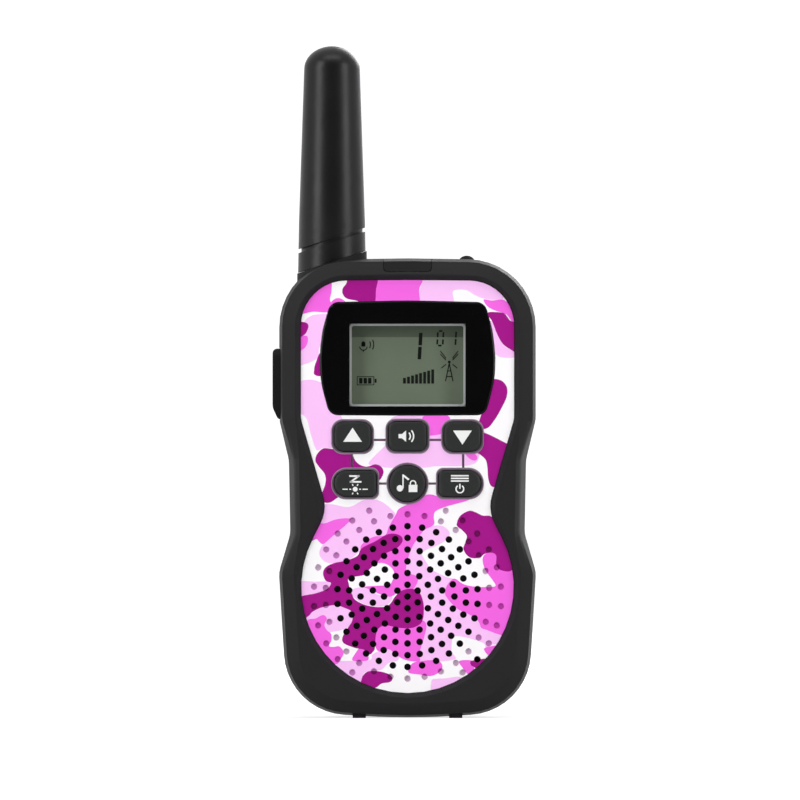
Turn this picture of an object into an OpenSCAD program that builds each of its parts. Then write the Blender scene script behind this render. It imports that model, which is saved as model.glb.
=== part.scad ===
/* [Housing] */
// Width of the housing across the shoulders
body_w = 54.84; // [54:0.1:64]
// Height of the housing from the feet to the crown of its top
body_h = 97.85; // [97:0.1:112]
// Depth of the housing from bezel to back
body_d = 26; // [26:0.1:34]
// Width of the housing at its waist
waist_w = 50.12; // [49:0.1:54]
// Width of the housing at the hips
hip_w = 55; // [54:0.1:64]
// Wall thickness of the two housing halves
wall = 1.8; // [1.4:0.1:2.2]
// Radius of the top corners
top_r = 14.57; // [11:0.1:17]
// Radius of the bottom corners
bottom_r = 13.7; // [11:0.1:15]
// Depth of the bright chamfer round the bezel
chamfer_d = 2.2; // [1.2:0.1:3]
// Diameter of a self-tapping housing screw
screw_d = 2.2; // [1.8:0.1:2.6]

/* [Face panel] */
// Width of the printed face panel at the display
panel_w = 45.4; // [44:0.1:46]
// Radius of the round lower part of the panel
panel_r = 22.62; // [21:0.1:23]
// Thickness of the panel
panel_t = 1; // [0.8:0.1:1.4]
// Depth of the panel's surface below the bezel
panel_sink = 1; // [0.6:0.1:1.4]
// Diameter of a sound hole
hole_d = 1.43; // [0.8:0.01:1.8]
// Distance from one ring of sound holes to the next
ring_pitch = 2.5; // [2.2:0.05:2.6]

/* [Display] */
// Widest part of the glossy window
window_w = 37.5; // [34:0.1:38]
// Width of the display that shows
lcd_w = 24.7; // [20:0.1:27]
// Height of the display that shows
lcd_h = 17.6; // [14:0.1:18]

/* [Keys] */
// Travel of a front key
key_travel = 0.6; // [0.3:0.05:0.9]
// Height of a key above the panel
key_proud = 0.9; // [0.5:0.05:1.4]
// Gap round a key in the panel
key_moat = 0.45; // [0.3:0.05:0.6]
// Diameter of the round call key
call_d = 7.7; // [6:0.1:9]
// Travel of the talk button
talk_travel = 0.9; // [0.4:0.05:1.2]
// Height of the talk button along the side
talk_h = 15.2; // [11:0.1:16]

/* [Antenna] */
// Diameter of the sleeve at its foot
antenna_d = 14.7; // [13:0.1:16]
// Diameter of the sleeve under its round tip
antenna_tip_d = 11.94; // [10.4:0.1:13]
// Height of the antenna's tip above the housing
antenna_h = 45.65; // [38:0.1:70]
// Slope of the joint between antenna and housing
antenna_slope = 18; // [8:1:24]

/* [Sound and jack] */
// Diameter of the loudspeaker
speaker_d = 33.2; // [32.4:0.1:34]
// Diameter of the headset plug
plug_d = 2.5; // [2.5:0.1:3.5]

/* [Cells and clip] */
// Diameter of an AAA cell
cell_d = 10.5; // [10:0.1:10.6]
// Length of an AAA cell with its nub
cell_len = 44.5; // [43:0.1:45]
// Thickness of the battery door
door_t = 1.8; // [1.4:0.1:2.2]
// Width of the belt clip's lever
clip_w = 17; // [15:0.1:18]
// Gap between the housing and the clip for a belt
belt_gap = 6.3; // [6.1:0.1:8]

/* [Hidden] */

$fn = 48;
eps = 0.01;

// fits
fit = 0.1;            // a piece in its seat
slide_fit = 0.15;     // a key or button in its opening
pivot_fit = 0.06;     // a pin in its bore
lid_fit = 0.12;       // a door or cover in its recess

// layers from front to back; the front of the housing faces -Y
front_y = -body_d / 2;
back_y = body_d / 2;
panel_y = front_y + panel_sink;
seat_y = panel_y + panel_t;
front_wall = 1.6;
inner_y = seat_y + front_wall;
cell_r = cell_d / 2;
trough_gap = 0.25;
bay_floor = 1.25;
cell_y = back_y - door_t - 0.2 - cell_r;
parting_y = cell_y - cell_r - trough_gap - bay_floor;
board_t = 1.2;
part_h = 1.9;
board_back = parting_y - part_h - fit;
board_front = board_back - board_t;
draft = 0.7;
side_gap = 0.3;

// outline of the housing, right half from the crown down
shoulder_z = 63.6;
waist_top_z = 55;
waist_low_z = 39.2;
hip_z = 31;
bottom_z = 1.2;
base_x = hip_w / 2 - 1.8;

// outline of the panel
panel_top = body_h - 4.6;
panel_mid = panel_r + 5.4;
nose_x = 17.07;
nose_z = 44.4;
panel_corner_r = 9.64;
slope_w = 1;

// display
window_top = panel_top - 4.4;
window_h = lcd_h + 6.6;
window_low = window_top - window_h;
lcd_top = window_top - 4.8;
glass_w = lcd_w + 3.6;
glass_low = lcd_top - lcd_h - 1.4;
glass_high = lcd_top + 2.4;
rim_t = 0.4;

// keys: x, z, width, height, left radius, right radius
upper_z = window_low - 4.65;
row_z = upper_z - 10;
link_z = upper_z - 0.7;
side_x = 11.15;
key_list = [
    [-11.7, upper_z, 7.8, 6.2, 1.9, 1.9],
    [0, upper_z + 0.1, 8.1, 6.2, 1.5, 1.5],
    [11.7, upper_z, 7.8, 6.2, 1.9, 1.9],
    [-side_x, row_z, 8.9, 5.5, 2.6, 1],
    [0, row_z, call_d, call_d, call_d / 2 - eps, call_d / 2 - eps],
    [side_x, row_z, 8.9, 5.5, 1, 2.6]
];
flange = 0.45;
flange_t = 0.8;
key_front = panel_y - key_proud;
flange_back = inner_y + flange_t + fit;
dome_front = flange_back + key_travel + fit;
mat_front = board_front - 1.5;
mat_top = glass_low - 1.45;

// sound holes
sound_z = panel_mid - 2.08;
ring_counts = [1, 6, 12, 18, 24, 30, 30];
open_rings = len(ring_counts);
dimple_count = 30;
dimple_depth = 0.5;
edge_margin = 0.85;
mic_angle = -42;
mic_r = ring_pitch * (open_rings + 1);
boot_r = 2.9;
capsule_r = 2;
mic_x = mic_r * cos(mic_angle);
mic_z = sound_z + mic_r * sin(mic_angle);

// loudspeaker
speaker_r = speaker_d / 2;
well_r = ring_pitch * (open_rings - 1) + 1.1;
speaker_front = inner_y + 0.3;
speaker_back = board_front - 0.2;

// screws: x, z
screw_r = screw_d / 2;
boss_r = screw_r + 1.5;
head_r = screw_r + 0.9;
screw_top_z = body_h - 19.4;
screws = [[-18.5, screw_top_z], [18.5, screw_top_z], [-9, 5.6], [9, 5.6]];
head_y = back_y - 9;
head_t = 1.6;
screw_tip = inner_y + 2;
board_screw_at = [[-15, row_z - 6.56], [15, row_z - 6.56]];

// antenna
antenna_x = 11.27 - body_w / 2;
antenna_y = 1;
antenna_r = antenna_d / 2;
boss_out_r = antenna_r + 0.1;
tip_r = antenna_tip_d / 2;
joint_z = body_h - 0.55;
groove_z = joint_z + 4.65;
groove_w = 0.8;
groove_deep = 0.6;
tip_z = body_h + antenna_h;
dome_h = 4.93;
core_r = 4.4;
core_low = body_h - 13.2;
nut_t = 2.2;
nut_r = core_r + 1.5;
socket_low = core_low + nut_t + 0.9;
rod_r = 2.6;
coil_r = 3.4;
wire_r = 0.35;
coil_low = joint_z + 6;
coil_top = tip_z - 16;

// talk button on the left side
talk_top = shoulder_z + talk_h;
talk_w = 9;
talk_proud = 1.4;
talk_flange = 1;
talk_x = -body_w / 2 - talk_proud;
talk_back = -body_w / 2 + wall + 0.9 + side_gap;
switch_x = talk_back + talk_flange + talk_travel + 0.1;

// lamp window
lamp_w = 10.2;
lamp_low = body_h - 2.65;
lamp_depth = 9.8;
led_r = 1.5;
led_y = (inner_y + board_front) / 2;
cup_r = led_y - inner_y - fit;

// headset jack and its cover
jack_x = 12.7;
jack_y = parting_y + 6;
jack_r = plug_d / 2 + 0.03;
cover_w = 7;
cover_low = body_h - 2.25;
hinge_r = 1.1;
hinge_x = jack_x - 4.5;
hinge_z = cover_low + 0.7;
cover_right = jack_x + 4.7;
jack_top = cover_low - 2;

// cells
cell_pitch = cell_d + 0.3;
cell_x = [for (i = [0:3]) (i - 1.5) * cell_pitch];
bay_low = 10.5;
spring_len = 4;
plate_t = 0.4;
contact_half = 3.8;
bay_top = bay_low + cell_len + spring_len + 2 * plate_t + 0.3;
trough_r = cell_r + trough_gap;
bay_half = cell_x[3] + trough_r;
bay_wall = 1.2;
door_low = 4.4;
door_half = bay_half - 0.2;
door_top = bay_top + 0.6;
tongue_len = 3;
tongues = [-14, 0, 14];
tongue_t = 0.9;
recess_y = back_y - door_t - lid_fit;

// belt clip
rail_low = bay_top + 4.2;
rail_high = rail_low + 24;
rail_x = clip_w / 2 + 1.9;
base_t = 3.2;
lip_y = 1.3;
knuckle_r = 2.2;
base_y = back_y + base_t - 0.6;
pivot_y = base_y + knuckle_r + 0.2;
pivot_z = rail_high - 8;
lever_t = 2.2;
lever_y = back_y + belt_gap;
lever_top = pivot_z + 13;
lever_low = bay_low + 17;
pin_r = 1;
ear_t = 1.8;
clip_foot_w = 2 * rail_x - 7;
ear_in = clip_w / 2 - 2.4;
spring_half = ear_in - ear_t - 1.7;

black = [0.07, 0.07, 0.075];
dark_grey = [0.17, 0.18, 0.175];
gloss_black = [0.02, 0.02, 0.025];
steel = [0.75, 0.76, 0.78];
brass = [0.78, 0.6, 0.25];
board_green = [0.08, 0.3, 0.16];

// unit vector from a to b, its length, and the cross product's sign
function unit(a, b) = (b - a) / norm(b - a);
function turn_sign(u, w) = u[0] * w[1] - u[1] * w[0] > 0 ? -1 : 1;
function turned(v, a) = [v[0] * cos(a) - v[1] * sin(a), v[0] * sin(a) + v[1] * cos(a)];

// arc of radius r that rounds corner b between a and c, in n steps
function corner(a, b, c, r, n) =
    let (u = unit(b, a), w = unit(b, c), half = acos(u * w) / 2, mid = unit([0, 0], u + w))
    let (hub = b + mid * r / sin(half), start = b + u * r / tan(half) - hub)
    [for (k = [0:n]) hub + turned(start, turn_sign(u, w) * (180 - 2 * half) * k / n)];

// closed outline through corners [x, z, radius, steps]
function rounded(v) = [
    for (i = [0:len(v) - 1])
        let (a = v[(i + len(v) - 1) % len(v)], b = v[i], c = v[(i + 1) % len(v)])
            each corner([a[0], a[1]], [b[0], b[1]], [c[0], c[1]], b[2], b[3])
];

// the right half of an outline, mirrored to the left; the first and last corners lie on the centre line
function both_sides(h) = concat(h, [for (i = [len(h) - 2:-1:1]) [-h[i][0], h[i][1], h[i][2], h[i][3]]]);

// outline of the housing grown by gs at the shoulders and top, gw at the waist, gh at the hips and base
function body_outline(gs, gw, gh) = rounded(both_sides([
    [0, body_h + 0.25 + gs, 90, 2],
    [body_w / 2 + gs, body_h - 0.15 + gs, top_r + gs, 10],
    [body_w / 2 + gs, shoulder_z, 5, 2],
    [waist_w / 2 + 0.3 + gw, waist_top_z, 8, 2],
    [waist_w / 2 + gw, waist_low_z, 6, 2],
    [hip_w / 2 + gh, hip_z, 6, 2],
    [base_x + gh, bottom_z - gh, bottom_r + gh, 10],
    [0, -0.3 - gh, 110, 2]
]));
function body_inset(g) = body_outline(-g, -g, -g);

// outline of the face panel grown by g: shoulders and noses, then the round lower part
nose_in = [nose_x, nose_z];
circle_start = 28;
function panel_side(g) = let (
        join = [0, panel_mid] + (panel_r + g) * [cos(circle_start), sin(circle_start)],
        nose = nose_in + [g * 1.03, g * 0.1],
        edge = [panel_w / 2 + g, nose_z + 19.4],
        top = [panel_w / 2 + g, panel_top - 0.1 + g],
        crown = [0, panel_top + 0.1 + g])
    concat(
        [crown],
        corner(crown, top, edge, panel_corner_r + g, 10),
        corner(top, edge, nose, 5, 3),
        corner(edge, nose, join, 8 - g, 5),
        [for (a = [circle_start:-8.4:-89]) [0, panel_mid] + (panel_r + g) * [cos(a), sin(a)]]
    );
function panel_outline(g) = let (s = panel_side(g))
    concat(s, [[0, panel_mid - panel_r - g]], [for (i = [len(s) - 1:-1:1]) [-s[i][0], s[i][1]]]);

function window_outline(g) = rounded(both_sides([
    [0, window_top + 0.1 + g, 150, 2],
    [window_w / 2 - 2.4 + g, window_top - 0.3 + g, 2.3 + g, 5],
    [window_w / 2 - 0.75 + g, window_top - 6, 12, 2],
    [window_w / 2 + g, window_top - 12, 25, 2],
    [window_w / 2 - 0.4 + g, window_top - 17.4, 20, 2],
    [window_w / 2 - 2.2 + g, window_low - g, 2.3 + g, 5],
    [0, window_low - 0.1 - g, 150, 2]
]));

function key_outline(k, g) = rounded([
    [k[0] + k[2] / 2 + g, k[1] + k[3] / 2 + g, k[5] + g, 8],
    [k[0] + k[2] / 2 + g, k[1] - k[3] / 2 - g, k[5] + g, 8],
    [k[0] - k[2] / 2 - g, k[1] - k[3] / 2 - g, k[4] + g, 8],
    [k[0] - k[2] / 2 - g, k[1] + k[3] / 2 + g, k[4] + g, 8]
]);

// a flat outline in x and z, extruded from y0 back to y1
module slab(y0, y1) {
    translate([0, y1, 0]) rotate([90, 0, 0]) linear_extrude(y1 - y0) children();
}

// a skin through outlines of equal length, each at its own depth: [[y, outline], ...] from back to front
module loft(rings) {
    n = len(rings[0][1]);
    last = len(rings) - 1;
    polyhedron(
        points = [for (r = rings) for (p = r[1]) [p[0], r[0], p[1]]],
        faces = concat(
            [[for (i = [n - 1:-1:0]) i]],
            [[for (i = [0:n - 1]) last * n + i]],
            [for (j = [0:last - 1]) for (i = [0:n - 1]) let (k = (i + 1) % n) each [
                [j * n + i, j * n + k, (j + 1) * n + k],
                [j * n + i, (j + 1) * n + k, (j + 1) * n + i]
            ]]
        ),
        convexity = 6
    );
}

// a cylinder along Y from y0 to y1
module rod_y(x, z, r, y0, y1) {
    translate([x, y0, z]) rotate([-90, 0, 0]) cylinder(r = r, h = y1 - y0);
}

// a cylinder along X from x0 to x1
module rod_x(y, z, r, x0, x1) {
    translate([x0, y, z]) rotate([0, 90, 0]) cylinder(r = r, h = x1 - x0);
}

// a block between two corners
module block(a, b) {
    translate(a) cube(b - a);
}

// a coiled wire on the Z axis whose radius runs from r0 to r1
module coil(r0, r1, height, turns, wire, steps = 10, sides = 6) {
    n = ceil(turns * steps);
    function spot(i, j) = let (a = 360 * turns * i / n, b = 360 * j / sides)
        let (r = r0 + (r1 - r0) * i / n + wire * cos(b))
        [r * cos(a), r * sin(a), height * i / n + wire * sin(b)];
    polyhedron(
        points = [for (i = [0:n]) for (j = [0:sides - 1]) spot(i, j)],
        faces = concat(
            [[for (j = [sides - 1:-1:0]) j]],
            [[for (j = [0:sides - 1]) n * sides + j]],
            [for (i = [0:n - 1]) for (j = [0:sides - 1]) let (k = (j + 1) % sides) each [
                [i * sides + j, i * sides + k, (i + 1) * sides + k],
                [i * sides + j, (i + 1) * sides + k, (i + 1) * sides + j]
            ]]
        ),
        convexity = 8
    );
}

// everything under a plane that falls to the left through height z on the antenna's axis
module under_slope(z) {
    translate([antenna_x, antenna_y, z]) rotate([0, -antenna_slope, 0])
        translate([-30, -30, -60]) cube([60, 60, 60]);
}

// the raised boss that the antenna stands on
module antenna_boss() {
    intersection() {
        translate([antenna_x, antenna_y, socket_low]) cylinder(r = boss_out_r, h = 24);
        under_slope(joint_z - 0.05);
    }
}

// a slice of a skin between two flat faces
module slice(y0, y1) {
    intersection() {
        children();
        block([-40, y0, -5], [40, y1, body_h + 5]);
    }
}

// the front half's outside, from the parting line to the bezel
module front_skin() {
    slice(front_y, parting_y) loft([
        [parting_y + 1, body_outline(0.07, 0.11, 0.07)],
        [front_y + chamfer_d, body_outline(-draft, -1.1, -draft)],
        [front_y + chamfer_d / 2, body_outline(-1.9, -1.6, -1.8)],
        [front_y - chamfer_d / 8, body_outline(-3.8, -2.42, -3.55)]
    ]);
}

// the back half's outside, from the rounded back edge to the parting line
module rear_skin() {
    slice(parting_y, back_y) loft([
        [back_y + 0.1, body_inset(5.55)],
        [back_y - 0.2, body_inset(3.3)],
        [back_y - 1, body_inset(1.9)],
        [back_y - 2.4, body_inset(0.9)],
        [back_y - 4.5, body_inset(0.5)],
        [parting_y - 1, body_inset(-0.05)]
    ]);
}

module foot(side, y0, y1) {
    block([side * 10.3 - 1.4, y0, 0], [side * 10.3 + 1.4, y1, wall + 1]);
}

// opening in the left side for the talk button
module talk_outline(g, depth) {
    w = talk_w + 2 * g;
    h = talk_h + 2 * g;
    translate([0, parting_y, shoulder_z + talk_h / 2]) rotate([0, 90, 0]) linear_extrude(depth)
        polygon(rounded([
            [h / 2, w / 2, 2.8 + g, 5], [h / 2, -w / 2, 2.8 + g, 5],
            [-h / 2, -w / 2, 2.8 + g, 5], [-h / 2, w / 2, 2.8 + g, 5]
        ]));
}
module talk_opening() {
    translate([talk_x - 2, 0, 0]) talk_outline(slide_fit, talk_back - talk_x + 2.5);
}

module lamp_block(g) {
    slab(front_y - 1, front_y + lamp_depth + g) polygon(rounded([
        [lamp_w / 2 + g, body_h + 4, 0.5, 2], [lamp_w / 2 + g, lamp_low - g, 0.9, 4],
        [-lamp_w / 2 - g, lamp_low - g, 0.9, 4], [-lamp_w / 2 - g, body_h + 4, 0.5, 2]
    ]));
}

module front_housing() color(black) difference() {
    union() {
        difference() {
            union() {
                front_skin();
                for (side = [-1, 1]) foot(side, front_y + chamfer_d + 1, parting_y);
            }
            // inside
            slab(inner_y, parting_y + 1) polygon(body_outline(-wall - draft, -wall - 1.1, -wall - draft));
            // recess for the panel with its sloping rim
            loft([
                [seat_y, panel_outline(fit)],
                [panel_y, panel_outline(fit)],
                [front_y - 0.2, panel_outline(slope_w * 1.2)]
            ]);
        }
        // screw bosses and the collar that centres the loudspeaker
        for (s = screws) rod_y(s[0], s[1], boss_r, inner_y - 0.2, parting_y);
        difference() {
            rod_y(0, sound_z, speaker_r + 1.4, inner_y - 0.2, inner_y + 2.6);
            rod_y(0, sound_z, speaker_r + fit, inner_y - 1, inner_y + 3);
        }
        for (s = board_screw_at) rod_y(s[0], s[1], 1.9, inner_y - 0.2, board_front);
    }
    for (s = screws) rod_y(s[0], s[1], screw_r + 0.02, screw_tip - 1.5, parting_y + 1);
    for (s = board_screw_at) rod_y(s[0], s[1], 0.82, inner_y + 0.6, parting_y);
    slab(front_y, inner_y + 1) square_window();
    rod_y(0, sound_z, well_r, front_y, inner_y + 1);
    rod_y(mic_x, mic_z, hole_d / 2, front_y, inner_y + 1);
    rod_y(mic_x, mic_z, boot_r + fit, inner_y, parting_y);
    for (k = key_list) slab(front_y, inner_y + 1) polygon(key_outline(k, slide_fit));
    lamp_block(fit);
    talk_opening();
    // the back half's antenna boss passes the parting line here
    translate([antenna_x, antenna_y, socket_low - 0.3]) cylinder(r = boss_out_r + fit, h = 40);
}

// opening behind the window for the display and its bright frame
module square_window(g = 0) {
    x = lcd_w / 2 + rim_t + fit + g;
    z0 = lcd_top - lcd_h - rim_t - fit - g;
    z1 = lcd_top + rim_t + fit + g;
    polygon([[-x, z0], [x, z0], [x, z1], [-x, z1]]);
}

// a recess under the jack cover, with room for its hinge
module cover_recess() {
    y0 = jack_y - cover_w / 2 - lid_fit;
    y1 = jack_y + cover_w / 2 + lid_fit;
    swing = body_h + 0.5 - hinge_z;
    block([hinge_x - swing, y0, hinge_z - 0.1], [cover_right + lid_fit, y1, body_h + 2]);
    block([hinge_x, y0, cover_low - lid_fit], [cover_right + lid_fit, y1, body_h + 2]);
    translate([hinge_x, y0, hinge_z]) rotate([-90, 0, 0]) cylinder(r = hinge_r + 0.2, h = y1 - y0);
}

module rear_housing() color(black) difference() {
    union() {
        difference() {
            union() {
                rear_skin();
                for (side = [-1, 1]) foot(side, parting_y, back_y - 3.4);
                clip_rails();
            }
            // inside, around the battery bay
            difference() {
                slab(parting_y - 1, back_y - 2.4) polygon(body_inset(wall + 0.9));
                block([-bay_half - bay_wall, parting_y - 2, bay_low - bay_wall],
                    [bay_half + bay_wall, back_y, bay_top + bay_wall]);
                slab(parting_y - 2, back_y) polygon([[-18, 0], [18, 0], [18, bay_low], [-18, bay_low]]);
            }
        }
        antenna_boss();
        for (s = screws) rod_y(s[0], s[1], head_r + 1.4, parting_y, back_y - 1.5);
        // top wall and socket that carry the jack and its cover
        intersection() {
            rear_skin();
            block([hinge_x - 3, parting_y, jack_top - 1],
                [cover_right + 2, jack_y + cover_w / 2 + 2, body_h + 1]);
        }
    }
    for (s = screws) {
        rod_y(s[0], s[1], screw_r + 0.1, parting_y - 1, back_y);
        rod_y(s[0], s[1], head_r + 0.15, head_y, back_y + 1);
    }
    // bay: four troughs open to the back
    for (x = cell_x) translate([x, cell_y, bay_low]) cylinder(r = trough_r, h = bay_top - bay_low);
    block([-bay_half, cell_y, bay_low], [bay_half, back_y + 1, bay_top]);
    // recess of the door, open at the bottom, and the slots that hold its tongues
    block([-door_half - lid_fit, recess_y, -1], [door_half + lid_fit, back_y + 1, door_top + lid_fit]);
    for (x = tongues) tongue(x, lid_fit);
    cover_recess();
    translate([jack_x, jack_y, jack_top - 2]) cylinder(r = 3.1, h = 10);
    talk_opening();
    translate([antenna_x, antenna_y, socket_low - 1]) cylinder(r = core_r + 0.05, h = 30);
}

// one tongue on the door's upper edge, or with a gap g the slot that holds it
module tongue(x, g) {
    y0 = recess_y + lid_fit;
    block([x - 3 - g, y0 - g, door_top - 1], [x + 3 + g, y0 + tongue_t + g, door_top + tongue_len + 2 * g]);
}

// two rails with lips and a stop at the bottom, moulded on the back
module clip_rails() {
    y1 = back_y + base_t * 0.85;
    for (side = [0, 1]) mirror([side, 0, 0]) {
        block([rail_x - 1.6, back_y - 1, rail_low], [rail_x, y1, rail_high]);
        block([rail_x - 3, y1 - lip_y, rail_low], [rail_x, y1, rail_high]);
        block([rail_x - 2.4, back_y - 1, rail_low - 1.4], [rail_x, y1, rail_low]);
    }
}

// places of the sound holes in one ring
function ring_spots(ring, count) = [
    for (i = [0:count - 1]) let (a = 90 + 360 * i / count)
        [ring * ring_pitch * cos(a), sound_z + ring * ring_pitch * sin(a)]
];

// true where a hole lies inside the round part of the panel and clear of the keys
function hole_fits(p) = norm(p - [0, panel_mid]) < panel_r - edge_margin && p[1] < row_z - 5.2;

module face_panel() color([0.93, 0.42, 0.88]) difference() {
    slab(panel_y, seat_y) polygon(panel_outline(0));
    slab(panel_y - 1, seat_y + 1) polygon(window_outline(fit));
    for (k = key_list) slab(panel_y - 1, seat_y + 1) polygon(key_outline(k, key_moat));
    for (ring = [0:open_rings - 1]) for (p = ring_spots(ring, ring_counts[ring]))
        rod_y(p[0], p[1], hole_d / 2, panel_y - 1, seat_y + 1);
    for (ring = [open_rings, open_rings + 1]) for (p = ring_spots(ring, dimple_count))
        if (hole_fits(p)) rod_y(p[0], p[1], hole_d / 2, panel_y - 1, panel_y + dimple_depth);
    rod_y(mic_x, mic_z, hole_d / 2, panel_y - 1, seat_y + 1);
    // engraved lines that link the keys
    for (z = [row_z, link_z]) block([-side_x, panel_y - 1, z - 0.25], [side_x, panel_y + 0.25, z + 0.25]);
    for (x = [-11.85, 11.85]) block([x - 0.25, panel_y - 1, row_z], [x + 0.25, panel_y + 0.25, upper_z]);
}

module display_window() color(gloss_black)
    loft([
        [seat_y, window_outline(0)],
        [panel_y - 0.1, window_outline(0)],
        [panel_y - 0.25, window_outline(-0.25)]
    ]);

module lamp_lens() color([0.1, 0.1, 0.11, 0.9]) intersection() {
    front_skin();
    lamp_block(0);
}

module lcd_frame() color(steel) difference() {
    slab(seat_y + fit, inner_y) offset(delta = -fit) square_window();
    slab(front_y, back_y) offset(delta = -fit - rim_t) square_window();
}

module lcd_glass() color([0.4, 0.46, 0.37]) union() {
    block([-glass_w / 2, inner_y + 0.05, glass_low], [glass_w / 2, inner_y + 1.15, glass_high]);
    block([-glass_w / 2, inner_y + 1.15, glass_low], [glass_w / 2, inner_y + 2.3, glass_high - 1.8]);
}

module backlight_plate() color([0.9, 0.92, 0.88])
    block([-glass_w / 2, inner_y + 2.35, glass_low], [glass_w / 2, board_front - fit, glass_high - 2.2]);

module connector_strip() color([0.85, 0.5, 0.55])
    block([1 - glass_w / 2, inner_y + 1.25, glass_high - 1.7],
        [glass_w / 2 - 1, board_front, glass_high - 0.2]);

// a keycap: flange behind the wall, shaft through it, and a softly rounded crown
module key_cap(k) color(dark_grey) union() {
    slab(inner_y + fit / 2, flange_back) polygon(key_outline(k, flange));
    loft([
        [inner_y + fit, key_outline(k, 0)],
        [key_front + 0.5, key_outline(k, 0)],
        [key_front + 0.2, key_outline(k, -0.1)],
        [key_front + 0.04, key_outline(k, -0.36)],
        [key_front, key_outline(k, -0.8)]
    ]);
}
module up_key() key_cap(key_list[0]);
module monitor_key() key_cap(key_list[1]);
module down_key() key_cap(key_list[2]);
module lamp_key() key_cap(key_list[3]);
module call_key() key_cap(key_list[4]);
module menu_key() key_cap(key_list[5]);

module key_mat() color([0.55, 0.56, 0.57]) {
    slab(mat_front, board_front - 0.05)
        polygon([[-17, row_z - 4.6], [17, row_z - 4.6], [17, mat_top], [-17, mat_top]]);
    for (k = key_list) rod_y(k[0], k[1], 2.2, dome_front, mat_front);
}

module talk_button() color(black) intersection() {
    union() {
        translate([talk_x - 1, 0, 0]) talk_outline(0, talk_back - talk_x + 1.5);
        translate([talk_back, 0, 0]) talk_outline(1.1, 5);
    }
    union() {
        slab(parting_y - talk_w, parting_y + talk_w) polygon(rounded([
            [talk_x, talk_top + 0.01, 1, 4], [talk_back + eps, talk_top + 0.01, 0.02, 1],
            [talk_back + eps, shoulder_z - 0.01, 0.02, 1], [talk_x + 1.2, shoulder_z - 0.01, 1, 3],
            [talk_x, shoulder_z + 2.6, 3, 3]
        ]));
        block([talk_back, parting_y - talk_w, shoulder_z - 3],
            [talk_back + talk_flange, parting_y + talk_w, talk_top + 3]);
    }
}

module talk_switch() color([0.25, 0.25, 0.26]) {
    z = shoulder_z + talk_h / 2;
    block([switch_x + 0.8, board_back, z - 3], [switch_x + 4.4, board_back + 4.2, z + 3]);
    rod_x(board_back + 2, z, 1, switch_x, switch_x + 0.9);
}

module antenna_sleeve() color(black) difference() {
    translate([antenna_x, antenna_y, 0]) rotate_extrude($fn = 96) polygon(concat(
        [[0, joint_z - 6], [antenna_r, joint_z - 6], [antenna_r - 0.28, groove_z + 4]],
        [for (a = [0:7.5:90]) [tip_r * cos(a), tip_z - dome_h + dome_h * sin(a)]]
    ));
    under_slope(joint_z + 0.05);
    // slanted groove
    difference() {
        translate([antenna_x, antenna_y, groove_z]) rotate([0, -antenna_slope, 0])
            translate([-20, -20, -groove_w / 2]) cube([40, 40, groove_w]);
        translate([antenna_x, antenna_y, 0]) cylinder(r = antenna_r - 0.2 - groove_deep, h = tip_z);
    }
    translate([antenna_x, antenna_y, 0]) cylinder(r = core_r + fit, h = coil_top + 2);
}

module antenna_core() color([0.3, 0.3, 0.31]) translate([antenna_x, antenna_y, 0]) {
    translate([0, 0, core_low]) cylinder(r = core_r, h = coil_low - 0.8 - core_low);
    translate([0, 0, coil_low - 0.8]) cylinder(r = rod_r, h = coil_top + 1 - coil_low);
}

module antenna_coil() color([0.72, 0.42, 0.22]) translate([antenna_x, antenna_y, coil_low])
    coil(coil_r, coil_r, coil_top - coil_low, 9, wire_r);

module antenna_nut() color(brass) translate([antenna_x, antenna_y, 0]) difference() {
    translate([0, 0, socket_low - nut_t - 0.02]) cylinder(r = nut_r, h = nut_t, $fn = 6);
    translate([0, 0, core_low]) cylinder(r = core_r + 0.03, h = 5);
}

module antenna_contact() color(brass) {
    z = core_low - 0.4;
    block([antenna_x - 1.2, board_back, z], [antenna_x + 1.2, antenna_y + 1.2, core_low]);
    block([antenna_x - 1.2, board_back, z - 2.4], [antenna_x + 1.2, board_back + 0.4, z]);
}

module jack_cover() color([0.1, 0.1, 0.105]) {
    y0 = jack_y - cover_w / 2;
    intersection() {
        rear_skin();
        union() {
            block([hinge_x, y0, cover_low], [cover_right, y0 + cover_w, body_h + 1]);
            translate([hinge_x, y0, hinge_z]) rotate([-90, 0, 0]) cylinder(r = hinge_r, h = cover_w);
        }
    }
    // stub in the jack's mouth, and the finger nub
    translate([jack_x, jack_y, cover_low - 1.2]) cylinder(r = 2.2, h = 1.3);
    translate([jack_x, jack_y, body_h - 0.62]) intersection() {
        scale([1.8, 1.8, 1.5]) sphere(r = 1, $fn = 24);
        translate([-3, -3, -0.2]) cube(6);
    }
}

module headset_jack() color([0.12, 0.12, 0.13]) difference() {
    union() {
        block([jack_x - 3, board_back, jack_top - 12], [jack_x + 3, jack_y + 3, jack_top - 1.1]);
        translate([jack_x, jack_y, jack_top - 1.2]) cylinder(r = 2.9, h = 1.7);
    }
    translate([jack_x, jack_y, jack_top - 11]) cylinder(r = jack_r, h = 20);
}

module main_board() color(board_green) difference() {
    intersection() {
        slab(board_front, board_back) polygon(body_inset(wall + 2));
        block([-40, front_y, 9.2], [40, back_y, body_h - 6.5]);
    }
    // room for the talk button and the antenna's socket
    block([-40, front_y, shoulder_z - 2], [switch_x + 0.5, back_y, talk_top + 2]);
    block([-40, front_y, core_low - 0.5], [antenna_x + boss_out_r + 0.5, back_y, body_h]);
    for (s = screws) rod_y(s[0], s[1], boss_r + 0.4, front_y, back_y);
    for (s = board_screw_at) rod_y(s[0], s[1], 0.95, front_y, back_y);
}

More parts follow.
